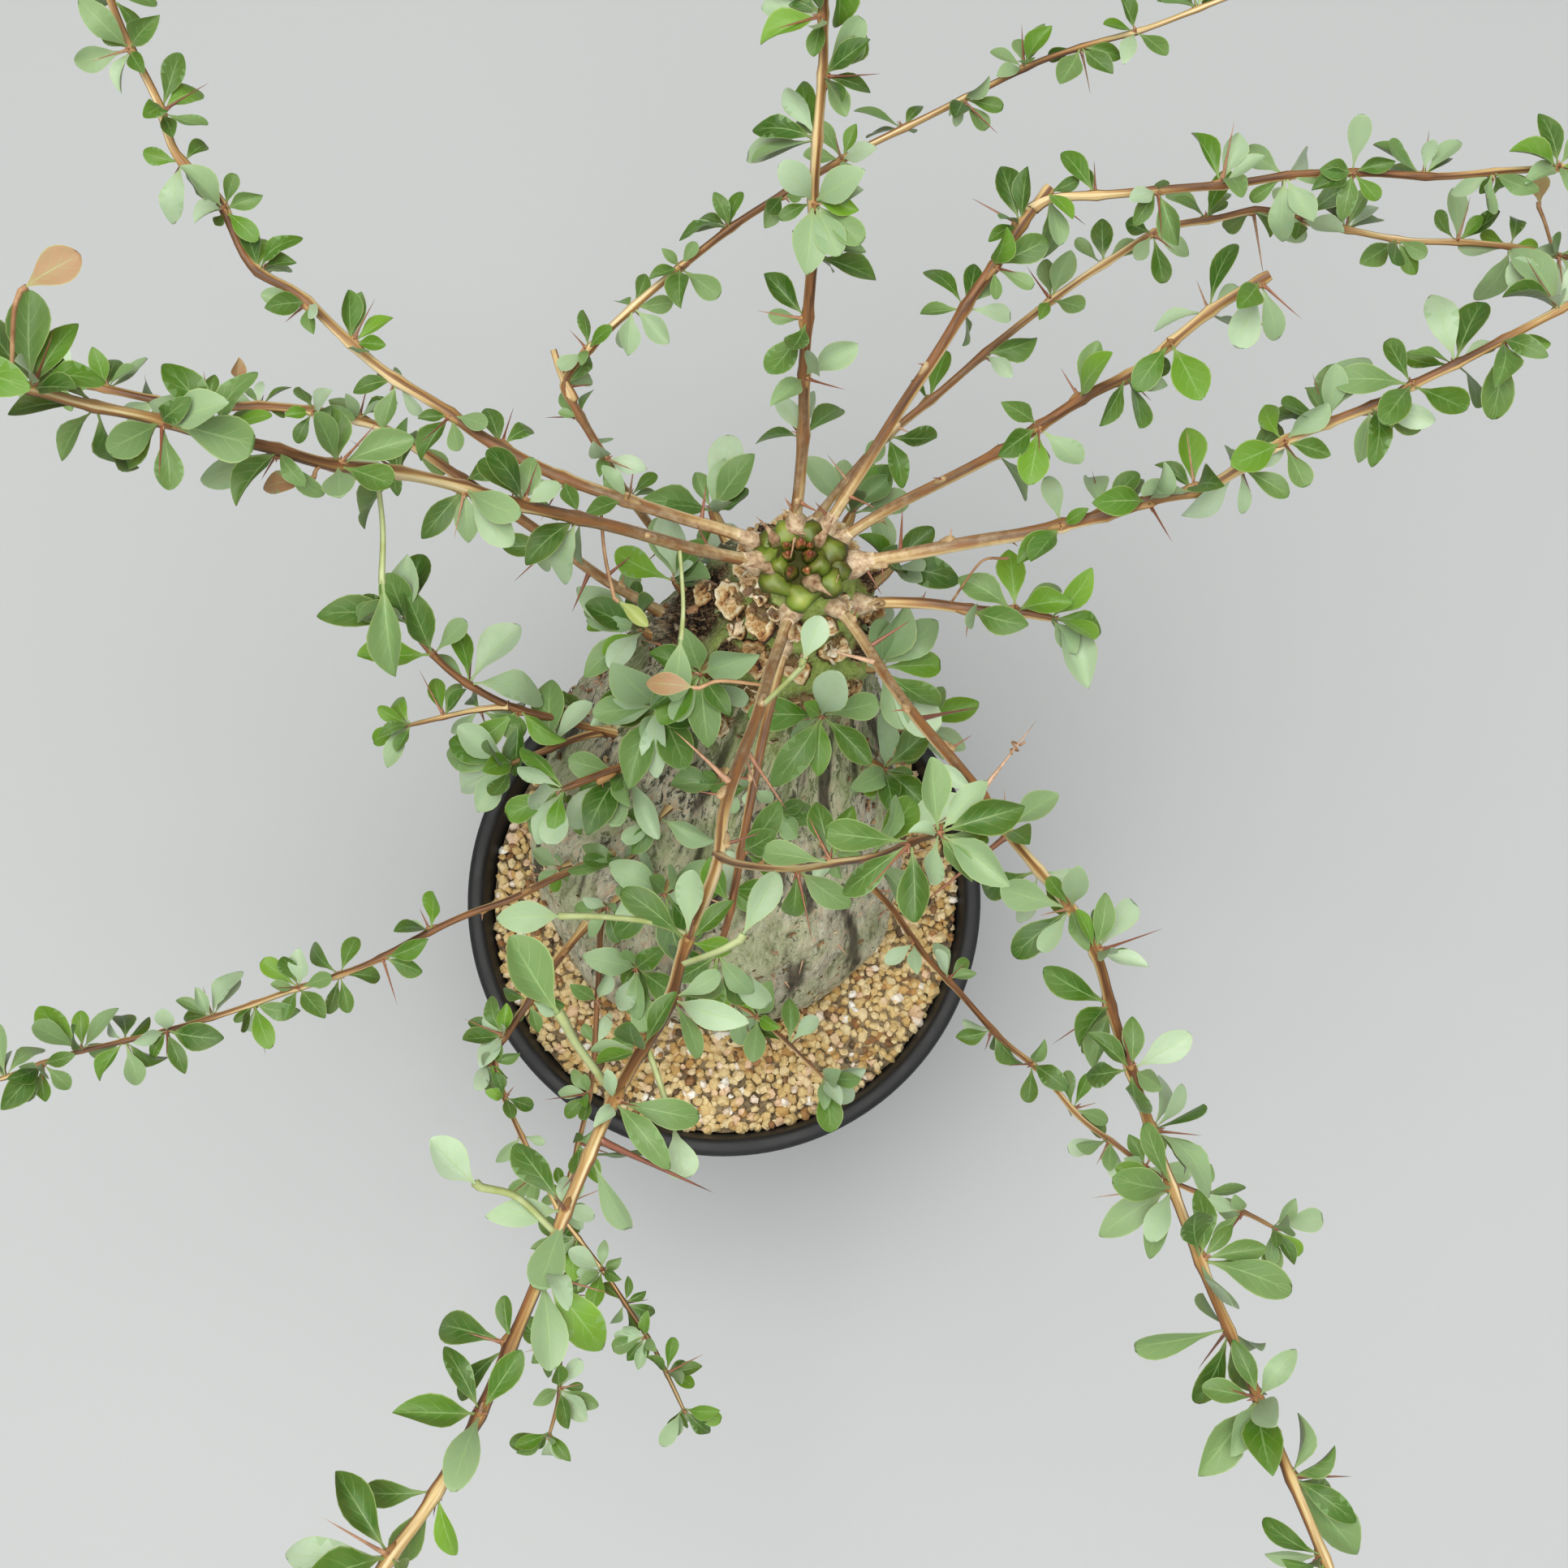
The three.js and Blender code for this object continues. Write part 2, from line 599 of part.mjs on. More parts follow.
// One leaf of a tuft. The tuft points away from the stem along out, and its
// leaves lean off that line all round, with their faces turned to the light.
function leafOf(frame, out, cross, length, seed, turnAway) {
  const [a, b, c] = seed;
  const lean = THREE.MathUtils.degToRad(38 + 30 * chance(a, b, c + 1) - 7 * turnAway);
  const round = c * goldenAngle + chance(a, b, 50) * Math.PI * 2 + turnAway * 0.9;
  const along = out.clone().multiplyScalar(Math.cos(lean))
    .addScaledVector(frame.along, Math.cos(round) * Math.sin(lean))
    .addScaledVector(cross, Math.sin(round) * Math.sin(lean));
  along.z = along.z * 0.55 + 0.12;
  along.normalize();
  const face = new THREE.Vector3(0, 0, 0.9).addScaledVector(out, 0.5);
  face.x += 0.5 * (chance(a, b, c + 2) - 0.5);
  face.y += 0.5 * (chance(a, b, c + 3) - 0.5);
  face.addScaledVector(along, -face.dot(along));
  if (face.length() < 0.2) face.copy(frame.along).addScaledVector(along, -frame.along.dot(along));
  face.normalize();
  const size = length * (0.84 + 0.4 * chance(a, b, c + 4));
  const root = frame.centre.clone().addScaledVector(along, 0.2 * frame.radius);
  return {
    root, along, face,
    length: size,
    width: size * leafRatio * (0.9 + 0.3 * chance(a, b, c + 5)),
    cup: 0.05 + 0.15 * chance(a, b, c + 6),
    arch: 0.16 * (chance(a, b, c + 7) - 0.35),
  };
}

// The tufts of leaves and the spines of one stem, kept clear of other plants
function tuftsOf(stem, owner, stemNumber) {
  const curve = stemCurve(stem);
  const last = stem.route.length - 1;
  const leaves = [];
  const spines = [];
  for (let i = stem.leafFrom ?? last + 1; i <= last; i += 1) {
    const share = i / last;
    const frame = stemFrame(curve, share - tuftBelow / last);
    const key = owner * 40 + stemNumber * 20 + 7;
    const angle = i * goldenAngle + chance(key, i, 1) * 0.8 + owner;
    const out = frame.lift.clone().multiplyScalar(Math.sin(angle));
    out.addScaledVector(frame.side, Math.cos(angle));
    const atTip = i === last && !stem.cut;
    if (atTip) out.copy(frame.along);
    out.z += 0.25;
    out.normalize();
    const ahead = atTip ? frame.lift : frame.along;
    const cross = new THREE.Vector3().crossVectors(out, ahead).normalize();
    const tuft = { ...frame, along: ahead.clone(), radius: stemRadius(stem, share) };
    const length = stem.leaf[0] + (stem.leaf[1] - stem.leaf[0]) * share;
    const count = stem.leaves ?? (atTip ? 3 : 2);
    for (let c = 0; c < count; c += 1) {
      for (let turnAway = 0; turnAway < 6; turnAway += 1) {
        const leaf = leafOf(tuft, out, cross, length, [key, i, c * 10], turnAway);
        const spheres = leafSpheres(leaf);
        if (!isClear(spheres, owner)) continue;
        take(spheres, owner);
        leaves.push(leaf);
        break;
      }
    }
    if ((i + owner) % 4 === 0 && !atTip && !stem.leaves) {
      const along = out.clone().addScaledVector(frame.along, 0.35 * (chance(key, i, 9) - 0.3));
      along.normalize();
      along.z -= 0.2;
      along.normalize();
      const spine = { root: frame.centre, along, length: 11 + 6 * chance(key, i, 8) };
      if (isClear(spineSpheres(spine), owner)) {
        take(spineSpheres(spine), owner);
        spines.push(spine);
      }
    }
  }
  return { leaves, spines };
}

// The stems take their room first, then the leaves are placed one by one
plants.forEach((plant, owner) => {
  for (const stem of plant.stems) {
    const curve = stemCurve(stem);
    const steps = (stem.route.length - 1) * 4;
    for (let i = 0; i <= steps; i += 1) {
      taken.push({ point: curve.getPoint(i / steps), radius: stemRadius(stem, i / steps), owner });
    }
  }
});

// Fuses one plant's stems, leaves and spines, trims it clear of the trunk and
// drops any scrap that the trim cuts loose
function plantSolid(plant, owner, seat) {
  let body = null;
  plant.stems.forEach((stem, number) => {
    const solid = stemSolid(stem);
    body = body ? body.add(solid) : solid;
    const { leaves, spines } = tuftsOf(stem, owner, number);
    for (const leaf of leaves) body = body.add(leafSolid(leaf));
    for (const spine of spines) body = body.add(spineSolid(spine));
  });
  const pieces = body.subtract(seat).decompose();
  return pieces.reduce((largest, piece) => (piece.volume() > largest.volume() ? piece : largest));
}

function named(name, solid, colour, roughness) {
  const material = new THREE.MeshStandardMaterial({ color: colour, roughness, metalness: 0 });
  const mesh = new THREE.Mesh(toGeometry(solid), material);
  mesh.name = name;
  return mesh;
}

const seat = trunkSolid(gap);
const model = new THREE.Group();
model.add(named('pot', potSolid(), 0x1b1c1e, 0.55));
model.add(named('grit', gritSolid(seat), 0xb59a6c, 0.95));
model.add(named('trunk', trunkSolid(0), 0x8a8678, 0.9));
plants.forEach((plant, owner) => {
  model.add(named(plant.name, plantSolid(plant, owner, seat), 0x5e8a55, 0.6));
});

export default model;
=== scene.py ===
import json
import math

import bmesh
import bpy
import numpy as np
from mathutils import Matrix, Vector, noise

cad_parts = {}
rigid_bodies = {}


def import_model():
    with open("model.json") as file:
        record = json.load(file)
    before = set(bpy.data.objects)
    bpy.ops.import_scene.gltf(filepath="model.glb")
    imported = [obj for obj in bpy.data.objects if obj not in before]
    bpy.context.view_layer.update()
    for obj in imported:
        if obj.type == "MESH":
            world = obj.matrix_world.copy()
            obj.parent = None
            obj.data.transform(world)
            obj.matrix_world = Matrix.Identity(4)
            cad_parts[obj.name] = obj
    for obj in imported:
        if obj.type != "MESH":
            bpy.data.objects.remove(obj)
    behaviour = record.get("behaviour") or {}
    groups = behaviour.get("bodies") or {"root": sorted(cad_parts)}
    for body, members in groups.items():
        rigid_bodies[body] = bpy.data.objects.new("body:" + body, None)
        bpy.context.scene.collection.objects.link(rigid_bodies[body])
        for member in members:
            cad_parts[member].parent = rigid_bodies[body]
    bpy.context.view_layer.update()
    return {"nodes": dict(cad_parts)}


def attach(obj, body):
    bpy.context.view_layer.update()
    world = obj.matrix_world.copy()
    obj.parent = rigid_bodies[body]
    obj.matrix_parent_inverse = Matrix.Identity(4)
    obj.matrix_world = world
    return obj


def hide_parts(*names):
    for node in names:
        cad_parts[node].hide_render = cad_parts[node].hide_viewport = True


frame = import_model()
mm = 0.001  # sizes below are in millimetres, and meshes are made in metres
goldenAngle = 2.39996

# The camera looks down on the plant, as someone does who stands over it
view = {"place": (21, -92.5, 898.8), "elevation": 80, "fieldOfView": 40}
studio = {
    "floorSide": 9000,
    "floorColour": (0.438, 0.45, 0.452),
    "worldColour": (0.96, 0.98, 0.97),
    "worldStrength": 0.235,
    "aimHeight": 250,
    "lamps": [
        {"place": (-250, 60, 2300), "size": 1.7, "power": 61, "colour": (1, 0.99, 0.96)},
        {"place": (1300, -500, 1700), "size": 1.8, "power": 12.5, "colour": (0.98, 0.99, 1)},
        {"place": (-500, -1500, 1500), "size": 1.8, "power": 13.5, "colour": (1, 1, 1)},
    ],
}


def addCamera():
    data = bpy.data.cameras.new("camera")
    data.angle = math.radians(view["fieldOfView"])
    camera = bpy.data.objects.new("camera", data)
    camera.location = Vector(view["place"]) * mm
    camera.rotation_euler = (math.radians(90 - view["elevation"]), 0, 0)
    bpy.context.collection.objects.link(camera)
    bpy.context.scene.camera = camera


def addLight():
    for lamp in studio["lamps"]:
        data = bpy.data.lights.new("lamp", "AREA")
        data.size = lamp["size"]
        data.energy = lamp["power"]
        data.color = lamp["colour"]
        body = bpy.data.objects.new("lamp", data)
        body.location = Vector(lamp["place"]) * mm
        aim = Vector((0, 0, studio["aimHeight"] * mm)) - body.location
        body.rotation_euler = aim.to_track_quat("-Z", "Y").to_euler()
        body.visible_camera = False
        bpy.context.collection.objects.link(body)
    world = bpy.data.worlds.new("studio")
    world.use_nodes = True
    sky = world.node_tree.nodes["Background"]
    sky.inputs["Color"].default_value = (*studio["worldColour"], 1)
    sky.inputs["Strength"].default_value = studio["worldStrength"]
    bpy.context.scene.world = world
    bpy.context.scene.view_settings.view_transform = "Standard"


def addNode(tree, kind, sockets=None, **settings):
    # sockets maps an input to a plain value or to another node's output
    node = tree.nodes.new(kind)
    for key, value in settings.items():
        setattr(node, key, value)
    for key, value in (sockets or {}).items():
        if isinstance(value, bpy.types.NodeSocket):
            tree.links.new(value, node.inputs[key])
        else:
            node.inputs[key].default_value = value
    return node


# Shader helpers: each gives the output socket that the next one takes
def newMaterial(name, **values):
    material = bpy.data.materials.new(name)
    material.use_nodes = True
    tree = material.node_tree
    for key, value in values.items():
        tree.nodes["Principled BSDF"].inputs[key.replace("_", " ")].default_value = value
    return material, tree


def finished(material, colour, height, strength, depth, roughness=None):
    # Gives a material its colour and its fine relief
    tree = material.node_tree
    relief = {"Height": height, "Strength": strength, "Distance": depth}
    links = {"Base Color": colour, "Normal": addNode(tree, "ShaderNodeBump", relief).outputs["Normal"]}
    if roughness is not None:
        links["Roughness"] = roughness
    for key, value in links.items():
        tree.links.new(value, tree.nodes["Principled BSDF"].inputs[key])
    return material


def calc(tree, operation, *values):
    return addNode(tree, "ShaderNodeMath", dict(enumerate(values)), operation=operation).outputs[0]


def times(tree, first, second):
    return calc(tree, "MULTIPLY", first, second)


def plus(tree, first, second):
    return calc(tree, "ADD", first, second)


def spread(tree, value, low, high, toLow=0.0, toHigh=1.0):
    sockets = {"Value": value, "From Min": low, "From Max": high, "To Min": toLow, "To Max": toHigh}
    return addNode(tree, "ShaderNodeMapRange", sockets, clamp=True).outputs["Result"]


def blend(tree, share, first, second):
    # Each colour is another node's output or plain red, green and blue
    first, second = [(*c, 1) if isinstance(c, tuple) else c for c in (first, second)]
    return addNode(tree, "ShaderNodeMix", {0: share, 6: first, 7: second}, data_type="RGBA").outputs[2]


def ramp(tree, value, stops):
    node = addNode(tree, "ShaderNodeValToRGB", {"Fac": value})
    line = node.color_ramp
    while len(line.elements) < len(stops):
        line.elements.new(0.5)
    for element, (place, colour) in zip(line.elements, stops):
        element.position = place
        element.color = (*colour, 1)
    return node.outputs["Color"]


def attribute(tree, name, output="Fac"):
    return addNode(tree, "ShaderNodeAttribute", attribute_name=name).outputs[output]


def grain(tree, scale, detail=4.0, roughness=0.6, stretch=(1, 1, 1), place=None, distort=0.0):
    if place is None:
        place = addNode(tree, "ShaderNodeTexCoord").outputs["Object"]
    mapped = addNode(tree, "ShaderNodeMapping", {"Vector": place, "Scale": stretch})
    sockets = {
        "Vector": mapped.outputs[0], "Scale": scale, "Detail": detail,
        "Roughness": roughness, "Distortion": distort,
    }
    return addNode(tree, "ShaderNodeTexNoise", sockets).outputs["Fac"]


# Mesh helpers
def meshObject(name, vertices, faces, edges=()):
    mesh = bpy.data.meshes.new(name)
    mesh.from_pydata([tuple(v) for v in vertices], list(edges), list(faces))
    mesh.update()
    body = bpy.data.objects.new(name, mesh)
    bpy.context.collection.objects.link(body)
    return body


def setAttribute(body, name, kind, values):
    layer = body.data.attributes.new(name, kind, "POINT")
    key = "vector" if kind == "FLOAT_VECTOR" else "value"
    layer.data.foreach_set(key, np.asarray(values).ravel())


def smooth(body):
    body.data.shade_smooth()


def ringFaces(rings, sides, first=0):
    # Faces between neighbouring rings of points, from the point numbered first on
    faces = []
    for r in range(rings - 1):
        for k in range(sides):
            a, b = first + r * sides + k, first + r * sides + (k + 1) % sides
            faces.append((a, b, b + sides, a + sides))
    return faces


def fanFaces(ring, sides, tip):
    return [(ring + k, ring + (k + 1) % sides, tip) for k in range(sides)]


def dropBody(name, vertices, sides, marks=None, flipped=False):
    # A smooth body from its first point over rings of points to its last one
    rings = (len(vertices) - 2) // sides
    faces = [(0, 1 + (k + 1) % sides, 1 + k) for k in range(sides)]
    faces += ringFaces(rings, sides, 1) + fanFaces(1 + (rings - 1) * sides, sides, len(vertices) - 1)
    if flipped:
        faces = [face[:1] + face[:0:-1] for face in faces]
    body = meshObject(name, vertices, faces)
    if marks:
        setAttribute(body, "reach", "FLOAT", marks)
    smooth(body)
    return body


def settled(body, tree, inputs):
    # Runs a geometry tree on an object and leaves its result as a plain mesh
    modifier = body.modifiers.new("shape", "NODES")
    modifier.node_group = tree
    for item in tree.interface.items_tree:
        if item.item_type == "SOCKET" and item.in_out == "INPUT" and item.name in inputs:
            modifier[item.identifier] = inputs[item.name]
    bpy.context.view_layer.update()
    evaluated = body.evaluated_get(bpy.context.evaluated_depsgraph_get())
    mesh = bpy.data.meshes.new_from_object(evaluated)
    body.modifiers.remove(modifier)
    old = body.data
    body.data = mesh
    bpy.data.meshes.remove(old)
    kept = next((m for m in mesh.materials if m), None)
    mesh.materials.clear()
    if kept:
        mesh.materials.append(kept)
        mesh.polygons.foreach_set("material_index", [0] * len(mesh.polygons))
    return body


def newGeometryTree(name, sockets):
    tree = bpy.data.node_groups.new(name, "GeometryNodeTree")
    tree.is_modifier = True
    tree.interface.new_socket("Geometry", in_out="INPUT", socket_type="NodeSocketGeometry")
    for label, kind in sockets.items():
        tree.interface.new_socket(label, in_out="INPUT", socket_type="NodeSocket" + kind)
    tree.interface.new_socket("Geometry", in_out="OUTPUT", socket_type="NodeSocketGeometry")
    return tree, addNode(tree, "NodeGroupInput").outputs, addNode(tree, "NodeGroupOutput")


def endTree(tree, inputs, out, geometry):
    # Makes instances real and gives them the material that the tree was handed
    real = addNode(tree, "GeometryNodeRealizeInstances", {"Geometry": geometry})
    finish = addNode(tree, "GeometryNodeSetMaterial", {
        "Geometry": real.outputs[0], "Material": inputs["Material"],
    })
    tree.links.new(finish.outputs[0], out.inputs[0])
    return tree


def named(tree, name, kind="FLOAT"):
    return addNode(tree, "GeometryNodeInputNamedAttribute", {"Name": name}, data_type=kind).outputs[0]


def joined(name, bodies):
    # One object out of several, with their materials and attributes
    for body in bpy.context.selected_objects:
        body.select_set(False)
    for body in bodies:
        body.select_set(True)
    bpy.context.view_layer.objects.active = bodies[0]
    bpy.ops.object.join()
    bodies[0].name = name
    bodies[0].data.name = name
    bodies[0].select_set(False)
    return bodies[0]


def shapeSet(name, build, forms):
    # A hidden set of shapes for a tree to place, taken in the order of their names
    group = bpy.data.collections.new(name + "s")
    bpy.context.scene.collection.children.link(group)
    for k, form in enumerate(forms):
        body = build(f"{name}{k}", form)
        for owner in list(body.users_collection):
            owner.objects.unlink(body)
        group.objects.link(body)
    return group


def discard(group):
    for body in list(group.objects):
        bpy.data.objects.remove(body)
    bpy.data.collections.remove(group)


# Where everything grows: the same rule and the same seeds place the solids' leaves.
# Each stem is a list of given points, with a tuft on each one from leafFrom on.
trunkSections = [  # height, axis x, axis y, radius
    (96, -2, 8, 16), (104, -2, 9, 40), (118, -2, 11, 55), (138, -2, 13, 60),
    (158, -2, 17, 62.5), (180, -1, 24, 61), (200, 0, 30, 58), (220, 3, 36, 53),
    (240, 7, 43, 45.5), (258, 10, 49, 38.5), (275, 15, 56, 31.5), (290, 19, 61, 26),
    (303, 22, 64, 21.5), (316, 25, 66, 17), (328, 25.5, 66.5, 14), (337, 25, 66, 11.5),
    (343, 25, 66, 7.5), (346, 25, 66, 3),
]
growth = {
    "tuftBelow": 0.2,  # share of a step by which a tuft sits below its point
    "leafRatio": 0.43,  # width over length
    "apart": 0.8,
    "lowest": 156,  # no leaf hangs below this height
    "lean": (38, 68),  # degrees between a leaf and its tuft's outward line
    "easeOff": 7,  # degrees less at each new try to find room
    "level": 0.55,  # how much of a leaf's slope is left
    "most": 20000,  # spheres that the room can hold
}
plants = {
    "branch_back_left": [
        {"thick": (2.3, 1.1), "leaf": (11, 13), "leafFrom": 3, "route": [
            (24, 69, 328), (10, 74, 338), (-6, 77, 345), (-24, 81, 352), (-40, 86, 356),
            (-56, 93, 361), (-68, 101, 364), (-82, 109, 368), (-93, 118, 371), (-104, 128, 374),
            (-116, 135, 377), (-124, 151, 382), (-134, 161, 386), (-138, 173, 391),
            (-145, 187, 397), (-149, 198, 402), (-152, 208, 407)]},
    ],
    "branch_left_high": [
        {"thick": (2.2, 1.3), "leaf": (13, 17), "leafFrom": 4, "route": [
            (24, 66, 331), (13, 66, 342), (-3, 65, 358), (-19, 65, 375), (-32, 64, 390),
            (-44, 63, 404), (-56, 63, 418), (-68, 61, 434), (-79, 58, 448), (-89, 58, 459),
            (-99, 57, 470), (-108, 57, 480), (-118, 56, 491), (-127, 56, 501), (-134, 55, 509)]},
    ],
    "branch_left_low": [
        {"thick": (2.1, 1.1), "leaf": (12, 12), "leafFrom": 3, "route": [
            (0, 62, 268), (-16, 68, 282), (-32, 74, 298), (-47, 83, 309), (-59, 90, 316),
            (-71, 97, 322), (-87, 106, 330), (-98, 109, 334), (-110, 110, 338), (-124, 110, 341),
            (-137, 108, 344), (-150, 110, 347), (-163, 112, 350), (-175, 113, 352),
            (-187, 116, 355), (-198, 118, 357)]},
    ],
    "branch_back": [
        {"thick": (2.1, 1.2), "leaf": (14, 15.5), "leafFrom": 3, "route": [
            (25, 68, 330), (24, 76, 343), (25, 83, 356), (26, 94, 371), (26, 105, 384),
            (27, 116, 395), (28, 127, 408), (28, 136, 417), (29, 147, 428), (30, 158, 437),
            (30, 168, 446), (31, 178, 454), (31, 187, 461)]},
    ],
    "branch_back_low": [
        {"thick": (1.7, 0.9), "leaf": (11, 12.5), "leafFrom": 3, "route": [
            (6, 68, 262), (-8, 80, 276), (-17, 90, 290), (-25, 98, 305), (-31, 106, 316),
            (-37, 115, 324), (-40, 122, 328), (-31, 131, 334), (-18, 142, 338), (-5, 152, 341),
            (9, 162, 344), (24, 171, 346), (40, 180, 348), (57, 188, 350), (73, 196, 351),
            (90, 204, 353), (105, 209, 354), (120, 213, 355), (137, 219, 357), (151, 224, 359)]},
        {"thick": (1.4, 1.1), "cut": True, "route": [
            (-38, 118, 326), (-41, 124, 329), (-43, 130, 331)]},
    ],
    "branch_back_right": [
        {"thick": (2, 1.7), "leaf": (12, 14), "leafFrom": 5, "cut": True, "route": [
            (27, 69, 330), (33, 77, 341), (42, 89, 352), (52, 103, 361), (61, 115, 368),
            (69, 127, 374), (76, 136, 378), (83, 146, 381), (89, 153, 384)]},
        {"thick": (1.5, 1), "leaf": (12, 13.5), "leafFrom": 2, "route": [
            (84, 148, 381.5), (90, 150, 384), (103, 150, 386), (119, 151, 387),
            (135, 152, 388), (151, 154, 389), (168, 154, 390), (186, 153, 390), (203, 154, 391),
            (219, 155, 391), (232, 156, 392)]},
    ],
    "branch_back_right_low": [
        {"thick": (1.5, 0.9), "leaf": (12, 13), "leafFrom": 3, "route": [
            (24, 66, 306), (27, 79, 322), (41, 95, 334), (51, 104, 339), (63, 113, 343),
            (78, 125, 348), (96, 138, 353), (109, 146, 356), (122, 153, 359), (136, 155, 361),
            (148, 157, 362), (160, 153, 363), (172, 150, 364), (185, 147, 365), (201, 146, 366),
            (214, 144, 367), (226, 141, 368), (238, 140, 369)]},
    ],
    "branch_right_cut": [
        {"thick": (1.9, 1.6), "leaf": (14, 17), "leafFrom": 4, "cut": True, "route": [
            (27, 68, 326), (38, 74, 340), (50, 79, 350), (68, 85, 362), (78, 89, 368),
            (88, 94, 374), (98, 99, 380), (109, 103, 386), (119, 110, 391), (128, 116, 396),
            (140, 122, 401)]},
    ],
    "branch_right": [
        {"thick": (2.5, 1.2), "leaf": (15, 17), "leafFrom": 5, "route": [
            (27, 66, 328), (38, 67, 335), (52, 68, 341), (71, 70, 347), (84, 71, 351),
            (96, 73, 354), (107, 75, 357), (118, 78, 360), (130, 80, 362), (141, 86, 365),
            (152, 92, 367), (163, 96, 369), (174, 100, 371), (184, 105, 373), (195, 110, 375),
            (207, 116, 377), (221, 123, 380), (233, 130, 383)]},
    ],
    "branch_right_short": [
        {"thick": (2.2, 1.5), "leaf": (17, 18), "leafFrom": 4, "route": [
            (28, 63, 312), (41, 60, 321), (51, 59, 326), (62, 58, 328), (74, 56, 329),
            (86, 55, 330), (95, 53, 331)]},
    ],
    "branch_front_right": [
        {"thick": (2.1, 1.3), "leaf": (14, 16.5), "leafFrom": 6, "route": [
            (27, 63, 324), (34, 57, 333), (41, 46, 342), (48, 32, 351), (56, 18, 361),
            (64, 6, 370), (71, -5, 377), (76, -15, 385), (83, -26, 393), (89, -36, 401),
            (93, -47, 407), (95, -60, 414), (98, -75, 423), (101, -88, 429), (104, -100, 436),
            (108, -115, 444), (112, -128, 451), (116, -141, 458), (120, -155, 466),
            (124, -168, 473), (127, -178, 478)]},
    ],
    "branch_front": [
        {"thick": (2.2, 1.6), "leaf": (14, 16), "leafFrom": 9, "route": [
            (25, 62, 326), (23, 54, 337), (20, 42, 348), (17, 30, 361), (14, 16, 374),
            (10, 2, 388), (7, -11, 399), (6, -24, 410), (3, -35, 419), (-1, -47, 428),
            (-4, -60, 437), (-10, -71, 445), (-15, -82, 452), (-19, -93, 459),
            (-23, -104, 465), (-27, -116, 471), (-32, -129, 477), (-37, -141, 482),
            (-44, -154, 489), (-51, -164, 494), (-56, -173, 498)]},
        {"thick": (1.3, 0.9), "leaf": (13, 14), "leafFrom": 3, "route": [
            (6, -23, 409), (11, -27, 425), (18, -30, 441), (25, -32, 456), (32, -33, 472),
            (39, -34, 487), (46, -33, 502), (50, -33, 511)]},
    ],
    "branch_front_short": [
        {"thick": (1.9, 1.2), "leaf": (15, 16), "leafFrom": 4, "route": [
            (24, 60, 314), (20, 42, 323), (16, 24, 327), (12, 4, 325), (9, -12, 320),
            (6, -26, 312), (2, -38, 303)]},
    ],
    "shoot_left_long": [
        {"thick": (1.5, 0.8), "leaf": (11, 17), "leafFrom": 5, "route": [
            (-20, 10, 222), (-34, 3, 229), (-50, -5, 235), (-63, -12, 238), (-76, -17, 240),
            (-90, -24, 242), (-104, -32, 244), (-116, -37, 246), (-128, -41, 247),
            (-141, -46, 249), (-153, -50, 250), (-166, -54, 252), (-178, -57, 253),
            (-190, -60, 254), (-201, -64, 256), (-211, -68, 257), (-221, -70, 259)]},
    ],
    "shoot_left_upper": [
        {"thick": (1.8, 1.1), "leaf": (17, 21), "leafFrom": 3, "route": [
            (-18, 36, 246), (-34, 37, 259), (-47, 39, 265), (-61, 42, 270), (-75, 49, 276),
            (-84, 57, 281), (-91, 66, 284)]},
        {"thick": (1.5, 1.1), "leaf": (18, 19), "leafFrom": 2, "route": [
            (-33, 37, 258), (-41, 34, 262), (-51, 29, 266), (-62, 24, 269)]},
        {"thick": (1.1, 0.9), "leaf": (14, 12), "leafFrom": 1, "route": [
            (-61, 42, 270), (-72, 41, 268), (-83, 39, 266), (-93, 37, 264)]},
    ],
    "shoot_left_thick": [
        {"thick": (2.6, 2.1), "leaf": (19, 19), "leafFrom": 4, "route": [
            (-2, 38, 252), (-14, 31, 261), (-26, 25, 266), (-37, 20, 269), (-46, 16, 271)]},
    ],
    "shoot_front_left": [
        {"thick": (1.7, 1.4), "leaf": (12, 12), "leafFrom": 3, "cut": True, "route": [
            (-32, 0, 184), (-44, -15, 192), (-54, -29, 197), (-63, -43, 200),
            (-70, -54, 202), (-75, -62, 204)]},
        {"thick": (1.1, 0.8), "leaf": (10.5, 11), "leafFrom": 2, "route": [
            (-72, -57, 203), (-71, -63, 204), (-67, -74, 206), (-61, -86, 207),
            (-55, -97, 208), (-49, -108, 210), (-42, -117, 211), (-34, -127, 212),
            (-27, -137, 213), (-20, -147, 214), (-14, -158, 216), (-9, -168, 217)]},
    ],
    "shoot_front_thin": [
        {"thick": (1.3, 0.8), "leaf": (11.5, 12), "leafFrom": 4, "route": [
            (-24, 12, 218), (-34, 2, 214), (-38, -14, 206), (-39, -29, 200),
            (-40, -43, 195), (-41, -58, 191), (-43, -73, 188), (-47, -89, 185),
            (-51, -105, 183), (-52, -121, 183), (-52, -137, 184), (-51, -152, 185),
            (-51, -166, 187), (-54, -179, 189)]},
    ],
    "shoot_front_right": [
        {"thick": (1.4, 0.8), "leaf": (12, 13), "leafFrom": 3, "route": [
            (26, 10, 200), (41, 2, 209), (54, -11, 218), (64, -27, 227), (74, -39, 233),
            (87, -55, 241), (98, -65, 246), (109, -79, 252), (119, -87, 256), (129, -95, 260),
            (144, -102, 264), (155, -107, 268), (162, -111, 271)]},
    ],
    "shoot_front_bare": [
        {"thick": (1.3, 0.7), "leaf": (15, 16), "leafFrom": 2, "route": [
            (-8, -18, 164), (-1, -33, 176), (6, -40, 180), (14, -46, 183), (25, -56, 186),
            (36, -67, 189)]},
    ],
}
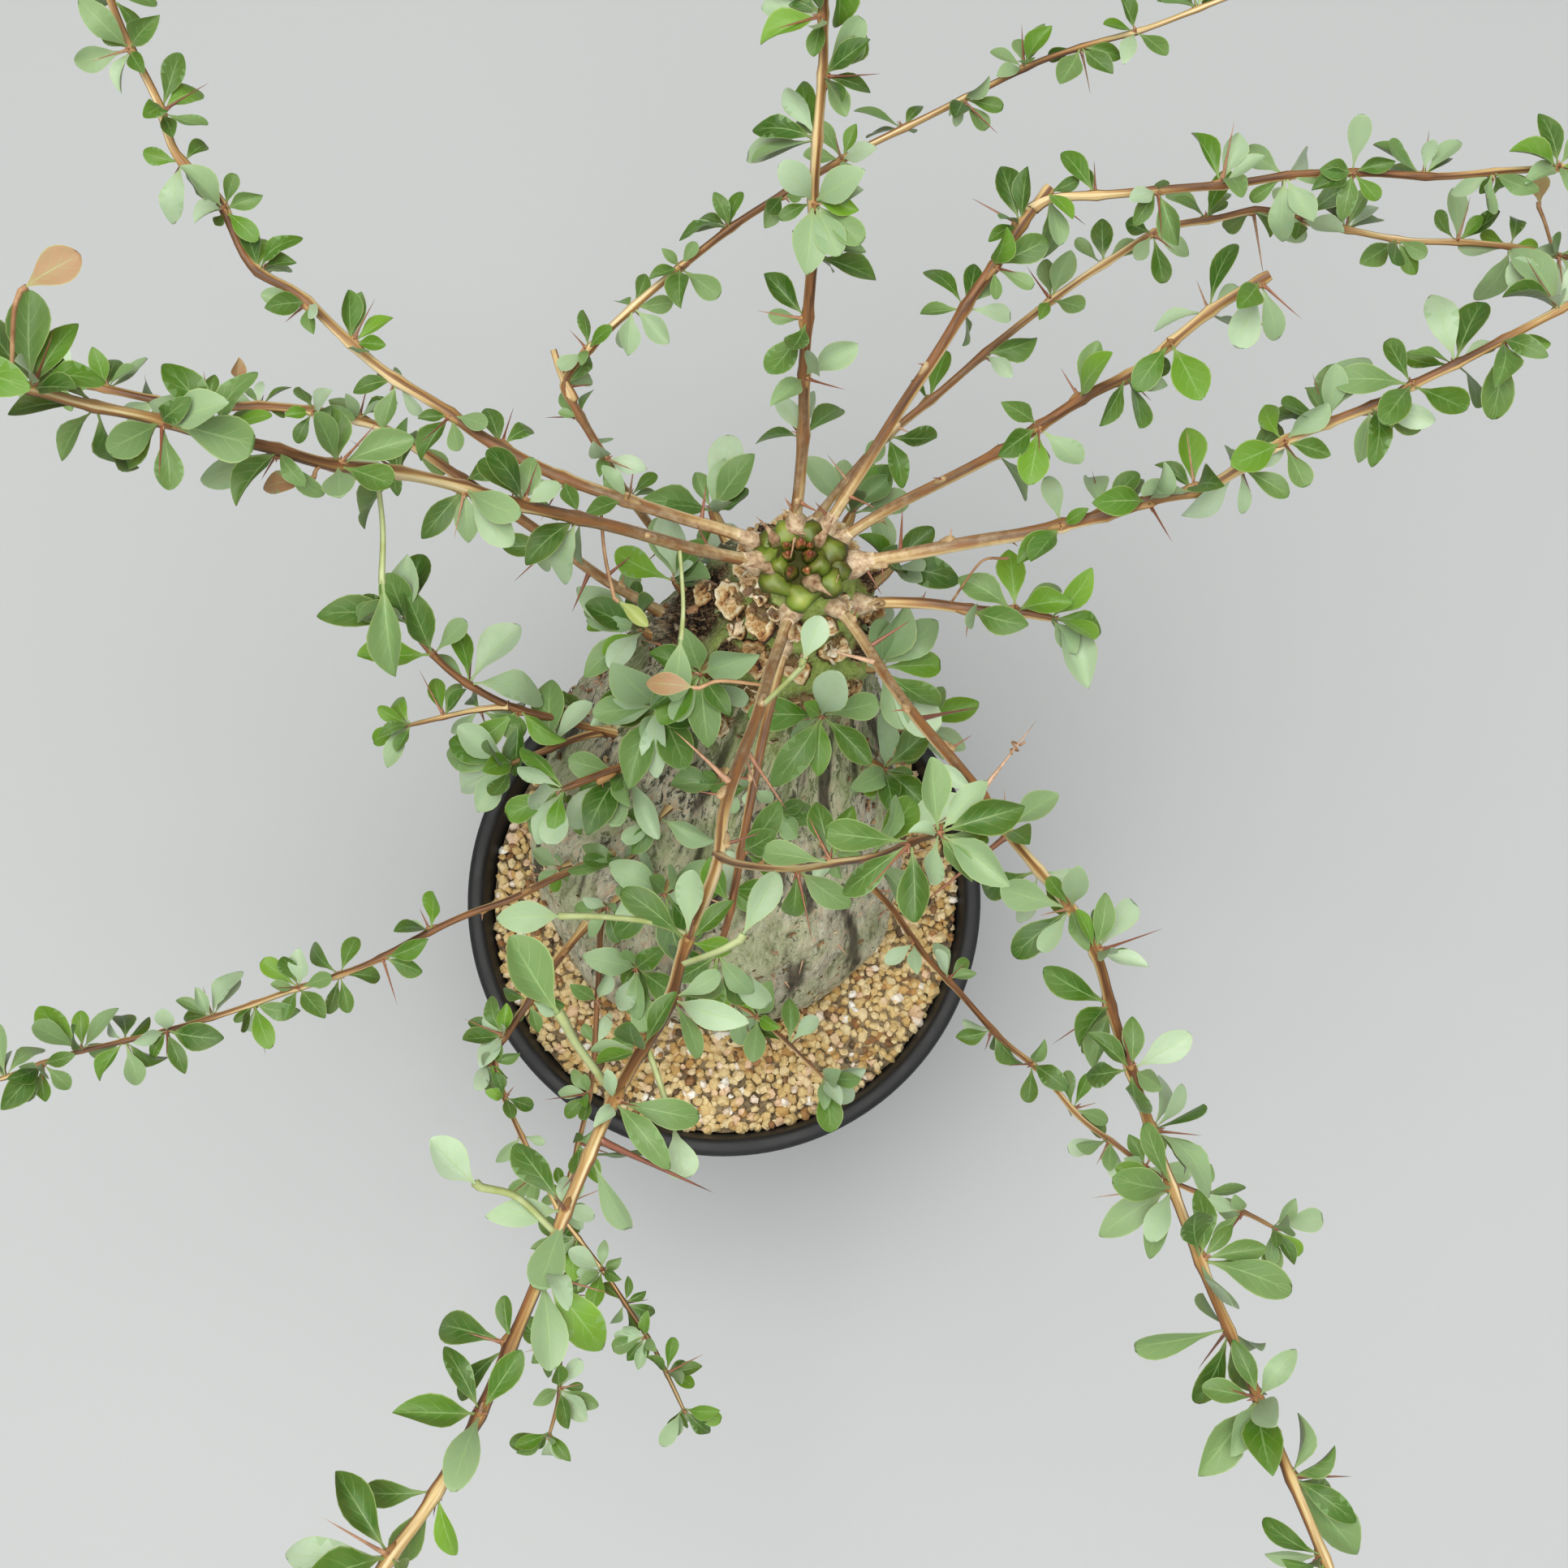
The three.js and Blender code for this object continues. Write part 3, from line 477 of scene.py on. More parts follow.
rosettes = {  # short spurs on the trunk: leaf length and route
    "rosette_behind_crown": (19, [(12, 74, 292), (3, 87, 302), (0, 92, 307)]),
    "rosette_neck_left": (21, [(0, 60, 272), (-16, 61, 279), (-21, 62, 283)]),
    "rosette_neck_back": (18, [(4, 68, 282), (-7, 72, 290), (-11, 74, 295)]),
    "rosette_neck_front": (18, [(10, 54, 290), (0, 47, 297), (-3, 44, 303)]),
    "rosette_shoulder_left": (22, [(2, 50, 266), (-12, 42, 279), (-16, 39, 284)]),
    "rosette_shoulder_front": (19, [(20, 54, 278), (30, 38, 291), (32, 33, 296)]),
    "rosette_shoulder_right": (21, [(30, 56, 280), (44, 50, 290), (49, 48, 294)]),
    "rosette_right": (18, [(34, 66, 292), (47, 72, 301), (52, 75, 305)]),
    "rosette_back_right": (18, [(30, 74, 284), (38, 88, 296), (41, 93, 301)]),
    "rosette_left": (19, [(-10, 32, 246), (-24, 26, 255), (-29, 23, 260)]),
    "rosette_front_left": (19, [(-4, 8, 224), (-13, -6, 233), (-16, -11, 238)]),
    "rosette_low_left": (18, [(-16, -8, 190), (-24, -25, 197), (-27, -31, 202)]),
    "rosette_front_right": (17, [(36, 34, 240), (47, 28, 251), (52, 25, 257)]),
    "rosette_right_low": (17, [(44, 46, 218), (58, 45, 227), (64, 44, 232)]),
}
for spurName, (spurLeaf, spurRoute) in rosettes.items():
    plants[spurName] = [{
        "thick": (2.4, 1.9), "leaf": (spurLeaf, spurLeaf), "leafFrom": 2, "leaves": 5,
        "route": spurRoute,
    }]


def chance(a, b, c):
    # A repeatable draw between 0 and 1 from three whole numbers
    wave = math.sin(a * 127.1 + b * 311.7 + c * 74.7) * 43758.5453
    return wave - math.floor(wave)


def unit(v):
    return v / max(np.linalg.norm(v), 1e-9)


def mix(a, b, share):
    return a + (b - a) * share


def trunkAt(z):
    rows = trunkSections
    if z < rows[0][0] or z > rows[-1][0]:
        return None
    heights = [row[0] for row in rows]
    return [np.interp(z, heights, [row[i] for row in rows]) for i in range(4)]


def pointOn(route, t):
    # A smooth curve through the route's points, with t from 0 to 1
    points = [np.array(p, float) for p in route]
    last = len(points) - 1
    place = last * t
    i = min(int(math.floor(place)), last - 1)
    w = place - i
    p1, p2 = points[i], points[i + 1]
    p0 = points[i - 1] if i > 0 else 2 * p1 - p2
    p3 = points[i + 2] if i + 2 <= last else 2 * p2 - p1
    t0, t1 = (p2 - p0) / 2, (p3 - p1) / 2
    return p1 + t0 * w + (3 * (p2 - p1) - 2 * t0 - t1) * w**2 + (2 * (p1 - p2) + t0 + t1) * w**3


def stemFrame(route, t):
    along = unit(pointOn(route, min(t + 1e-4, 1)) - pointOn(route, max(t - 1e-4, 0)))
    side = np.cross(along, (0, 0, 1))
    side = unit(side) if np.linalg.norm(side) >= 0.05 else np.array((1.0, 0, 0))
    lift = unit(np.cross(side, along))
    return {"centre": pointOn(route, t), "along": along, "side": side, "lift": lift}


class Room:
    # The spheres that stand for stems, leaves and spines while leaves are placed
    def __init__(self):
        self.points = np.zeros((growth["most"], 3))
        self.radii = np.zeros(growth["most"])
        self.owners = np.zeros(growth["most"], int)
        self.count = 0

    def take(self, spheres, owner):
        for point, radius in spheres:
            self.points[self.count] = point
            self.radii[self.count] = radius
            self.owners[self.count] = owner
            self.count += 1

    def isClear(self, spheres, owner):
        n = self.count
        for point, radius in spheres:
            trunk = trunkAt(point[2])
            if trunk and math.hypot(point[0] - trunk[1], point[1] - trunk[2]) < trunk[3] + radius:
                return False
            if point[2] < growth["lowest"]:
                return False
            reach = np.linalg.norm(self.points[:n] - point, axis=1)
            near = reach <= self.radii[:n] + radius + growth["apart"]
            if np.any(near & (self.owners[:n] != owner)):
                return False
        return True


def leafSpheres(leaf):
    marks = ((0.4, 0.3), (0.66, 0.55), (0.92, 0.42))
    return [(leaf["root"] + leaf["along"] * leaf["length"] * f, leaf["width"] * r) for f, r in marks]


def spineSpheres(spine):
    marks = (0.35, 0.6, 0.8, 1)
    return [(spine["root"] + spine["along"] * spine["length"] * f, 0.8) for f in marks]


def leafOf(tuft, seed, turnAway):
    a, b, c = seed
    out = tuft["out"]
    lean = math.radians(mix(*growth["lean"], chance(a, b, c + 1)) - growth["easeOff"] * turnAway)
    turn = c * goldenAngle + chance(a, b, 50) * math.pi * 2 + turnAway * 0.9
    along = out * math.cos(lean) + tuft["along"] * math.cos(turn) * math.sin(lean)
    along = along + tuft["cross"] * math.sin(turn) * math.sin(lean)
    along[2] = along[2] * growth["level"] + 0.12
    along = unit(along)
    face = np.array((0, 0, 0.9)) + out * 0.5
    face[0] += 0.5 * (chance(a, b, c + 2) - 0.5)
    face[1] += 0.5 * (chance(a, b, c + 3) - 0.5)
    face = face - along * face.dot(along)
    if np.linalg.norm(face) < 0.2:
        face = tuft["along"] - along * tuft["along"].dot(along)
    size = tuft["length"] * (0.84 + 0.4 * chance(a, b, c + 4))
    return {
        "root": tuft["centre"] + along * 0.2 * tuft["radius"],
        "along": along,
        "face": unit(face),
        "length": size,
        "width": size * growth["leafRatio"] * (0.9 + 0.3 * chance(a, b, c + 5)),
        "seed": seed,
    }


def stemKey(owner, number):
    # The seed of one stem's draws
    return owner * 40 + number * 20 + 7


def tuftsOf(stem, owner, number):
    # Every tuft of a stem: where it sits, its outward line and the leaves that it starts from
    last = len(stem["route"]) - 1
    key = stemKey(owner, number)
    tufts = []
    for i in range(stem.get("leafFrom", last + 1), last + 1):
        share = i / last
        place = stemFrame(stem["route"], share - growth["tuftBelow"] / last)
        angle = i * goldenAngle + chance(key, i, 1) * 0.8 + owner
        out = place["lift"] * math.sin(angle) + place["side"] * math.cos(angle)
        atTip = i == last and not stem.get("cut")
        if atTip:
            out = place["along"].copy()
        out[2] += 0.25
        out = unit(out)
        ahead = place["lift"] if atTip else place["along"]
        tufts.append({
            "centre": place["centre"], "along": ahead, "forward": place["along"], "out": out,
            "cross": unit(np.cross(out, ahead)), "radius": mix(*stem["thick"], share),
            "length": mix(*stem["leaf"], share), "key": key, "i": i, "atTip": atTip,
            "share": share, "count": stem.get("leaves", 3 if atTip else 2),
            "spur": "leaves" in stem, "owner": owner,
        })
    return tufts


# Leaves: every form has its own outline and its own way to bend
leafStations = (0, 0.15, 0.3, 0.44, 0.57, 0.69, 0.79, 0.88, 0.95, 0.988)
leafThick = 0.03  # share of the length
# Peak is the widest place, foot narrows the base, blunt rounds the tip and cup folds the halves
leafTraits = ("peak", "foot", "blunt", "cup", "twist", "arch", "droop", "bend", "notch", "wave")
leafForms = [dict(zip(leafTraits, row)) for row in (
    (0.66, 1.5, 0.52, 0.35, 0.2, 0.03, 0.06, 0, 0, 0),
    (0.56, 1.2, 0.72, 0.25, -0.3, 0.06, 0.12, 0.05, 0, 0),
    (0.62, 1.6, 0.6, 0.6, 0.5, 0.02, 0.02, -0.06, 0, 0),
    (0.7, 1.8, 0.45, 0.12, -0.1, 0.05, 0.2, 0.03, 0, 0),
    (0.74, 1.7, 0.42, 0.3, 0.1, 0, 0.05, 0, 0.02, 0),
    (0.6, 1.4, 0.75, 0.9, 0.9, 0.08, 0.1, 0.08, 0, 0),
    (0.67, 1.9, 0.5, 0.4, -0.8, -0.05, -0.1, 0, 0, 0),
    (0.64, 1.3, 0.62, 0.2, 0.3, 0.1, 0.32, 0, 0, 0.05),
    (0.58, 1.8, 0.8, 0.5, -0.4, 0.04, 0.1, 0.1, 0, 0),
)]


def leafHalf(form, f):
    # Half the width of the blade at f, from 0 at the stalk to 1 at the tip
    stalk = 0.045 * (1 - 0.4 * f)
    blade = (f - 0.1) / 0.9
    if blade <= 0:
        return stalk
    if blade < form["peak"]:
        wide = math.sin(math.pi / 2 * blade / form["peak"]) ** form["foot"]
    else:
        wide = math.cos(math.pi / 2 * (blade - form["peak"]) / (1 - form["peak"])) ** form["blunt"]
    return max(stalk, 0.5 * wide)


def leafBlade(name, form):
    across = (-1, -0.5, 0, 0.5, 1, 0)  # the last one is underneath
    ratio = growth["leafRatio"]
    vertices, marks = [], []
    for f in leafStations + (1 - form["notch"],):
        half = 0 if f > 0.99 or f == 1 - form["notch"] else leafHalf(form, f)
        turn = form["twist"] * (f - 0.3)
        middle = form["arch"] * 4 * f * (1 - f) - form["droop"] * f**3
        for k, s in enumerate(across):
            flat = s * half * ratio
            rise = form["cup"] * abs(s) ** 1.12 * half * ratio
            rise += form["wave"] * abs(s) * half * 2 * math.sin(f * 11 + (s > 0))
            rise += leafThick * (1 - s * s) * (1 - 0.5 * f) * (-0.5 if k == 5 else 0.5)
            y = flat * math.cos(turn) - rise * math.sin(turn)
            z = rise * math.cos(turn) + flat * math.sin(turn)
            vertices.append((f, y / ratio + form["bend"] * 2 * f * f, z + middle))
            marks.append((s, f))
            if half == 0:
                break
    faces, under = [tuple(range(5, -1, -1))], [True]
    rings = len(leafStations)
    for r in range(rings - 1):
        for k in range(6):
            a, b = r * 6 + k, r * 6 + (k + 1) % 6
            faces.append((a, a + 6, b + 6, b))
            under.append(k > 3)
    for k in range(6):
        faces.append(((rings - 1) * 6 + k, rings * 6, (rings - 1) * 6 + (k + 1) % 6))
        under.append(k > 3)
    body = meshObject(name, vertices, faces)
    layer = body.data.uv_layers.new(name="UVMap")
    for polygon in body.data.polygons:
        for corner in polygon.loop_indices:
            s, f = marks[body.data.loops[corner].vertex_index]
            lift = 2 if under[polygon.index] else 0
            layer.data[corner].uv = ((s + 1) / 2, f * 0.999 + lift)
    smooth(body)
    for edge in body.data.edges:  # the margins stay crisp
        sides = [marks[v][0] for v in edge.vertices]
        edge.use_edge_sharp = abs(sides[0]) == 1 and sides[0] == sides[1]
    return body


spineForms = [  # sideways bend at the tip, and how soon the spine thins
    {"bend": 0.0, "thin": 0.62}, {"bend": 0.07, "thin": 0.55}, {"bend": -0.1, "thin": 0.5},
]


def spineCone(name, form):
    sides = 5
    marks = ((0, 1.5), (0.08, 1), (0.4, form["thin"]), (0.75, form["thin"] * 0.55))
    vertices = []
    for f, radius in marks:
        for k in range(sides):
            angle = k * math.tau / sides
            vertices.append((f, radius * math.cos(angle), radius * math.sin(angle)))
    vertices = [(x, y, z + form["bend"] * 16 * x * x) for x, y, z in vertices]
    vertices.append((1, 0, form["bend"] * 16))
    top = (len(marks) - 1) * sides
    faces = [tuple(range(sides - 1, -1, -1))] + ringFaces(len(marks), sides)
    faces += fanFaces(top, sides, top + sides)
    body = meshObject(name, vertices, faces)
    smooth(body)
    return body


knobForms = [  # how far the tooth of a node leans to the tip and how long its heel is
    {"lean": 0.25, "heel": 2.6}, {"lean": 0.1, "heel": 2.0}, {"lean": 0.4, "heel": 3.2},
]


def knobTooth(name, form):
    # The raised leaf base on a stem: X points out of the stem and Z to its tip
    rings, sides = 5, 8
    vertices = [(-0.2, 0, 0)]
    for r in range(1, rings):
        angle = r / rings * math.pi
        for k in range(sides):
            turn = k * math.tau / sides
            x = 0.45 - 0.65 * math.cos(angle)
            y = math.sin(angle) * math.cos(turn)
            z = math.sin(angle) * math.sin(turn)
            z = z * form["heel"] if z < 0 else z * 0.8
            slim = 1 - 0.5 * max(x, 0)
            vertices.append((x, y * slim, z * slim + form["lean"] * x))
    vertices.append((1.1, 0, form["lean"] * 1.1))
    return dropBody(name, vertices, sides)


def scatterTree():
    # Puts one shape of a set on every point, turned and stretched as the point says
    tree, inputs, out = newGeometryTree("scatterShapes", {"Shapes": "Collection", "Material": "Material"})
    shapes = addNode(
        tree, "GeometryNodeCollectionInfo",
        {"Collection": inputs["Shapes"], "Separate Children": True, "Reset Children": True},
    )
    turn = addNode(tree, "FunctionNodeEulerToRotation", {0: named(tree, "turn", "FLOAT_VECTOR")})
    placed = addNode(tree, "GeometryNodeInstanceOnPoints", {
        "Points": inputs["Geometry"], "Instance": shapes.outputs[0], "Pick Instance": True,
        "Instance Index": named(tree, "form", "INT"), "Rotation": turn.outputs[0],
        "Scale": named(tree, "stretch", "FLOAT_VECTOR"),
    })
    return endTree(tree, inputs, out, placed.outputs[0])


def stemTree():
    # Sweeps a ribbed section along each line of points, as thick as the points say
    sizes = {"Sides": "Int", "Ribs": "Int", "Rib Depth": "Float", "Material": "Material"}
    tree, inputs, out = newGeometryTree("sweepStems", sizes)
    line = addNode(tree, "GeometryNodeMeshToCurve", {0: inputs["Geometry"]})
    circle = addNode(tree, "GeometryNodeCurvePrimitiveCircle", {
        "Resolution": inputs["Sides"], "Radius": 1.0,
    })
    factor = addNode(tree, "GeometryNodeSplineParameter").outputs["Factor"]
    turns = times(tree, inputs["Ribs"], math.tau)
    rib = calc(tree, "COSINE", times(tree, factor, turns))
    ribbed = addNode(tree, "GeometryNodeStoreNamedAttribute", {
        "Geometry": circle.outputs[0], "Name": "rib", "Value": rib,
    })
    place = addNode(tree, "GeometryNodeInputPosition").outputs[0]
    around = addNode(
        tree, "GeometryNodeStoreNamedAttribute",
        {"Geometry": ribbed.outputs[0], "Name": "around", "Value": place}, data_type="FLOAT_VECTOR",
    )
    reach = calc(tree, "MULTIPLY_ADD", named(tree, "rib"), inputs["Rib Depth"], 1.0)
    grown = addNode(tree, "ShaderNodeVectorMath", {0: place, "Scale": reach}, operation="SCALE")
    section = addNode(tree, "GeometryNodeSetPosition", {
        "Geometry": around.outputs[0], "Position": grown.outputs[0],
    })
    swept = addNode(tree, "GeometryNodeCurveToMesh", {
        "Curve": line.outputs[0], "Profile Curve": section.outputs[0], "Fill Caps": True,
        "Scale": named(tree, "girth"),
    })
    rounded = addNode(tree, "GeometryNodeSetShadeSmooth", {"Geometry": swept.outputs[0]})
    return endTree(tree, inputs, out, rounded.outputs[0])


def scattered(name, places, tree, group, material, extra=()):
    # places: dictionaries with at, x, z, stretch, form and the named extra values
    body = meshObject(name, [np.asarray(p["at"]) * mm for p in places], [])
    turns, stretches = [], []
    for p in places:
        x = unit(np.asarray(p["x"], float))
        z = unit(p["z"] - x * np.dot(p["z"], x))
        y = np.cross(z, x)
        turns.append(Matrix((x, y, z)).transposed().to_euler())
        stretches.append([s * mm for s in p["stretch"]])
    setAttribute(body, "turn", "FLOAT_VECTOR", turns)
    setAttribute(body, "stretch", "FLOAT_VECTOR", stretches)
    setAttribute(body, "form", "INT", [p["form"] for p in places])
    for key in extra:
        setAttribute(body, key, "FLOAT", [p[key] for p in places])
    settled(body, tree, {"Shapes": group, "Material": material})
    for key in ("turn", "stretch", "form"):
        if key in body.data.attributes:
            body.data.attributes.remove(body.data.attributes[key])
    return body


# Leaf: pale midrib, faint side veins, thin pale yellow-green edge that also carries a painted highlight; the
# tone of each leaf runs from waxy grey-green through deep green to yellow-green, and near 1 it is a dry leaf
def leafMaterial():
    material, tree = newMaterial(
        "leaf", Roughness=0.5, Subsurface_Weight=0.08, Subsurface_Scale=0.002, Specular_IOR_Level=0.24,
        Sheen_Weight=0.05, Sheen_Roughness=0.45, Sheen_Tint=(0.75, 0.9, 0.72, 1),
    )
    uv = addNode(tree, "ShaderNodeUVMap", uv_map="UVMap").outputs[0]
    parts = addNode(tree, "ShaderNodeSeparateXYZ", {0: uv})
    across, along = parts.outputs[0], parts.outputs[1]
    under = calc(tree, "GREATER_THAN", along, 1.5)
    length = calc(tree, "FRACT", along)
    edge = calc(tree, "ABSOLUTE", calc(tree, "MULTIPLY_ADD", across, 2.0, -1.0))
    tone = attribute(tree, "tone")
    body = ramp(tree, tone, [
        (0.0, (0.37, 0.47, 0.325)), (0.12, (0.275, 0.375, 0.225)), (0.32, (0.145, 0.24, 0.088)),
        (0.5, (0.066, 0.146, 0.023)), (0.7, (0.026, 0.080, 0.007)), (0.8, (0.066, 0.165, 0.012)),
        (0.87, (0.125, 0.265, 0.021)), (0.915, (0.32, 0.38, 0.11)), (0.97, (0.30, 0.17, 0.085)),
    ])
    cloud = grain(tree, 150, 3, 0.55)
    body = blend(tree, spread(tree, cloud, 0.4, 0.7, 0.0, 0.22), body, (0.17, 0.28, 0.09))
    stalk = spread(tree, length, 0.08, 0.34, 0.6, 0.0)
    body = blend(tree, stalk, body, (0.27, 0.34, 0.13))
    fade = spread(tree, length, 0.3, 1.0, 0.65, 0.1)
    rib = times(tree, spread(tree, edge, 0.02, 0.08, 1.0, 0.0), fade)
    side = calc(tree, "MULTIPLY_ADD", edge, -1.9, times(tree, length, 5.5))
    side = calc(tree, "ABSOLUTE", calc(tree, "SUBTRACT", calc(tree, "FRACT", side), 0.5))
    veins = spread(tree, side, 0.0, 0.07, 0.34, 0.0)
    veins = times(tree, veins, spread(tree, edge, 0.2, 0.85, 1.0, 0.1))
    lines = calc(tree, "MAXIMUM", rib, veins)
    body = blend(tree, lines, body, (0.29, 0.40, 0.16))
    # Thin pale rim along the margin: partly the leaf's own yellow-green edge, partly a painted highlight
    # where the edge catches light
    rim = spread(tree, edge, 0.91, 0.98, 0.0, 0.45)
    body = blend(tree, rim, body, (0.36, 0.43, 0.15))
    body = blend(tree, times(tree, under, 0.4), body, (0.18, 0.30, 0.12))
    height = calc(tree, "SUBTRACT", times(tree, cloud, 0.3), lines)
    return finished(material, body, height, 0.25, 0.0003, spread(tree, cloud, 0.3, 0.7, 0.32, 0.5))


# Stem: one face golden, the other red-brown, in long strips; grey-pink on old wood; rib crests a little paler
# and the grooves between them darker as painted shade
def stemMaterial():
    material, tree = newMaterial("stemBark", Roughness=0.46, Specular_IOR_Level=0.35)
    age = attribute(tree, "age")
    rib = attribute(tree, "rib")
    around = addNode(tree, "ShaderNodeSeparateXYZ", {0: attribute(tree, "around", "Vector")})
    place = addNode(tree, "ShaderNodeCombineXYZ", {
        0: around.outputs[0], 1: around.outputs[1], 2: attribute(tree, "run"),
    }).outputs[0]
    face = grain(tree, 1.0, 1, 0.4, (0.55, 0.55, 0.016), place)
    streak = grain(tree, 1.0, 4, 0.55, (2.2, 2.2, 0.05), place)
    patch = grain(tree, 1.0, 2, 0.5, (0.8, 0.8, 0.07), place)
    blotch = grain(tree, 420, 3, 0.6)
    # The rib term makes the crests paler and the grooves between the ribs darker: painted shade in the
    # grooves
    value = plus(tree, spread(tree, face, 0.41, 0.59, 0.0, 0.8), times(tree, rib, 0.12))
    value = plus(tree, value, spread(tree, streak, 0.3, 0.7, -0.14, 0.18))
    value = plus(tree, value, spread(tree, age, 0.2, 0.9, -0.08, 0.1))
    colour = ramp(tree, value, [
        (0.0, (0.085, 0.036, 0.014)), (0.2, (0.16, 0.072, 0.025)), (0.38, (0.25, 0.13, 0.043)),
        (0.56, (0.37, 0.22, 0.075)), (0.74, (0.52, 0.375, 0.165)), (1.0, (0.72, 0.61, 0.38)),
    ])
    dark = spread(tree, value, 0.9, 0.4, 0.35, 1.0)
    rust = times(tree, spread(tree, patch, 0.5, 0.62, 0.0, 0.62), dark)
    colour = blend(tree, rust, colour, (0.27, 0.115, 0.037))
    old = times(tree, spread(tree, age, 0.7, 0.98, 0.0, 0.7), spread(tree, patch, 0.6, 0.5))
    colour = blend(tree, old, colour, ramp(tree, blotch, [
        (0.35, (0.24, 0.155, 0.075)), (0.5, (0.38, 0.275, 0.145)), (0.65, (0.50, 0.40, 0.25)),
    ]))
    young = spread(tree, age, 0.0, 0.16, 0.6, 0.0)
    colour = blend(tree, young, colour, (0.14, 0.13, 0.035))
    return finished(material, colour, plus(tree, streak, times(tree, blotch, 0.5)), 0.4, 0.0004)


# Finishes whose colour follows the tone of each spine, flake or stone, with darker specks
tonedFinishes = {
    "spine": {
        "name": "spine", "values": {"Roughness": 0.4},
        "grain": (700, 2, 0.5), "specks": (0.4, 0.65, 0.0, 0.35), "speckColour": (0.10, 0.04, 0.022),
        "relief": (0.25, 0.0002),
        "stops": [
            (0.0, (0.13, 0.04, 0.022)), (0.4, (0.22, 0.075, 0.038)), (0.75, (0.36, 0.17, 0.09)),
            (1.0, (0.55, 0.36, 0.22))],
    },
    "flake": {
        "name": "deadBark", "values": {"Roughness": 0.75},
        "grain": (520, 5, 0.7), "specks": (0.42, 0.66, 0.0, 0.6), "speckColour": (0.22, 0.13, 0.07),
        "relief": (0.5, 0.0005),
        "stops": [
            (0.0, (0.09, 0.055, 0.03)), (0.25, (0.30, 0.16, 0.07)), (0.5, (0.54, 0.36, 0.18)),
            (0.75, (0.72, 0.56, 0.34)), (1.0, (0.84, 0.76, 0.58))],
    },
    "stone": {
        "name": "gritStone", "values": {"Roughness": 0.85, "Specular_IOR_Level": 0.3},
        "grain": (1100, 4, 0.65), "specks": (0.45, 0.7, 0.0, 0.4), "speckColour": (0.42, 0.28, 0.13),
        "relief": (0.5, 0.0004),
        "stops": [
            (0.0, (0.05, 0.042, 0.03)), (0.05, (0.28, 0.13, 0.05)), (0.09, (0.48, 0.28, 0.09)),
            (0.25, (0.56, 0.40, 0.165)), (0.5, (0.64, 0.49, 0.235)), (0.8, (0.72, 0.60, 0.35)),
            (0.92, (0.68, 0.47, 0.30)), (0.985, (0.82, 0.80, 0.72))],
    },
}


def tonedMaterial(look):
    material, tree = newMaterial(look["name"], **look["values"])
    speck = grain(tree, *look["grain"])
    colour = ramp(tree, attribute(tree, "tone"), look["stops"])
    colour = blend(tree, spread(tree, speck, *look["specks"]), colour, look["speckColour"])
    return finished(material, colour, speck, *look["relief"])


# Long stalk and blade of the leaves that hang free in front of the others
def stalkMaterial():
    material, tree = newMaterial("leafStalk", Roughness=0.5)
    cloud = grain(tree, 180, 3, 0.5)
    fresh = ramp(tree, cloud, [(0.35, (0.27, 0.31, 0.10)), (0.6, (0.36, 0.41, 0.19))])
    dry = ramp(tree, cloud, [(0.35, (0.22, 0.10, 0.04)), (0.6, (0.42, 0.25, 0.12))])
    colour = blend(tree, spread(tree, attribute(tree, "age"), 0.4, 0.6), fresh, dry)
    return finished(material, colour, cloud, 0.2, 0.0002)


foliage = {
    "wood": {"branch": 1.0, "rosette": 0.85}, "woodUsual": 0.62,  # how old the wood is at the root
    "leavesUsual": 3,  # tufts vary round this number
    "leavesDense": {  # more of them in the outer half of these
        "branch_front_right": 3, "shoot_front_left": 4, "shoot_front_thin": 3,
        "shoot_front_right": 1, "branch_right": 2, "branch_back_right": 2, "branch_back_right_low": 2,
        "branch_back": 4, "branch_back_low": 2, "branch_back_left": 2, "branch_left_low": 2,
        "branch_left_high": 2, "shoot_left_long": 3,
    },
    "leavesAtTip": 8,
    "leafSlim": {"branch_front": 0.86, "branch_front_right": 0.88},  # width against the solids' leaves
    "leavesOnSpur": 8,
    "spineShare": 0.8,  # of the nodes that the solids leave without a spine
    "spineThick": 0.5,
    "stemSides": 12,
    "stemRibs": 3,
    "ribDepth": 0.08,
    "samples": 6,  # points of a stem line between two nodes
    "nodeSwell": 0.3,
    "slim": 0.8,  # thickness against the solids
    "slimmer": {"branch_front": 0.9, "shoot_left_thick": 0.66, "branch_front_right": 0.92},
    "flare": 0.75,  # how much thicker a stem is where it leaves the trunk
    "flareReach": 8,
    "rooted": 3.4,  # how far a stem goes into the bark
}


def rootLine(route, parents):
    # To the middle of the stem that carries this one, into the bark, or straight back
    start = pointOn(route, 0)
    for parent in parents:
        line = [pointOn(parent["route"], k / 200) for k in range(201)]
        gaps = [np.linalg.norm(p - start) for p in line]
        if min(gaps) < 7:
            return (line[int(np.argmin(gaps))] - start) / foliage["rooted"]
    back = unit(start - pointOn(route, 0.02))
    trunk, above = trunkAt(start[2]), trunkAt(start[2] + 3)
    if trunk is None or above is None:
        return back
    out = np.array((start[0] - trunk[1], start[1] - trunk[2], 0))
    if np.linalg.norm(out) > trunk[3] + 5:
        return back
    slope = np.array((0, 0, (trunk[3] - above[3]) / 3))
    return unit(back - unit(unit(out) + slope) * 1.6)


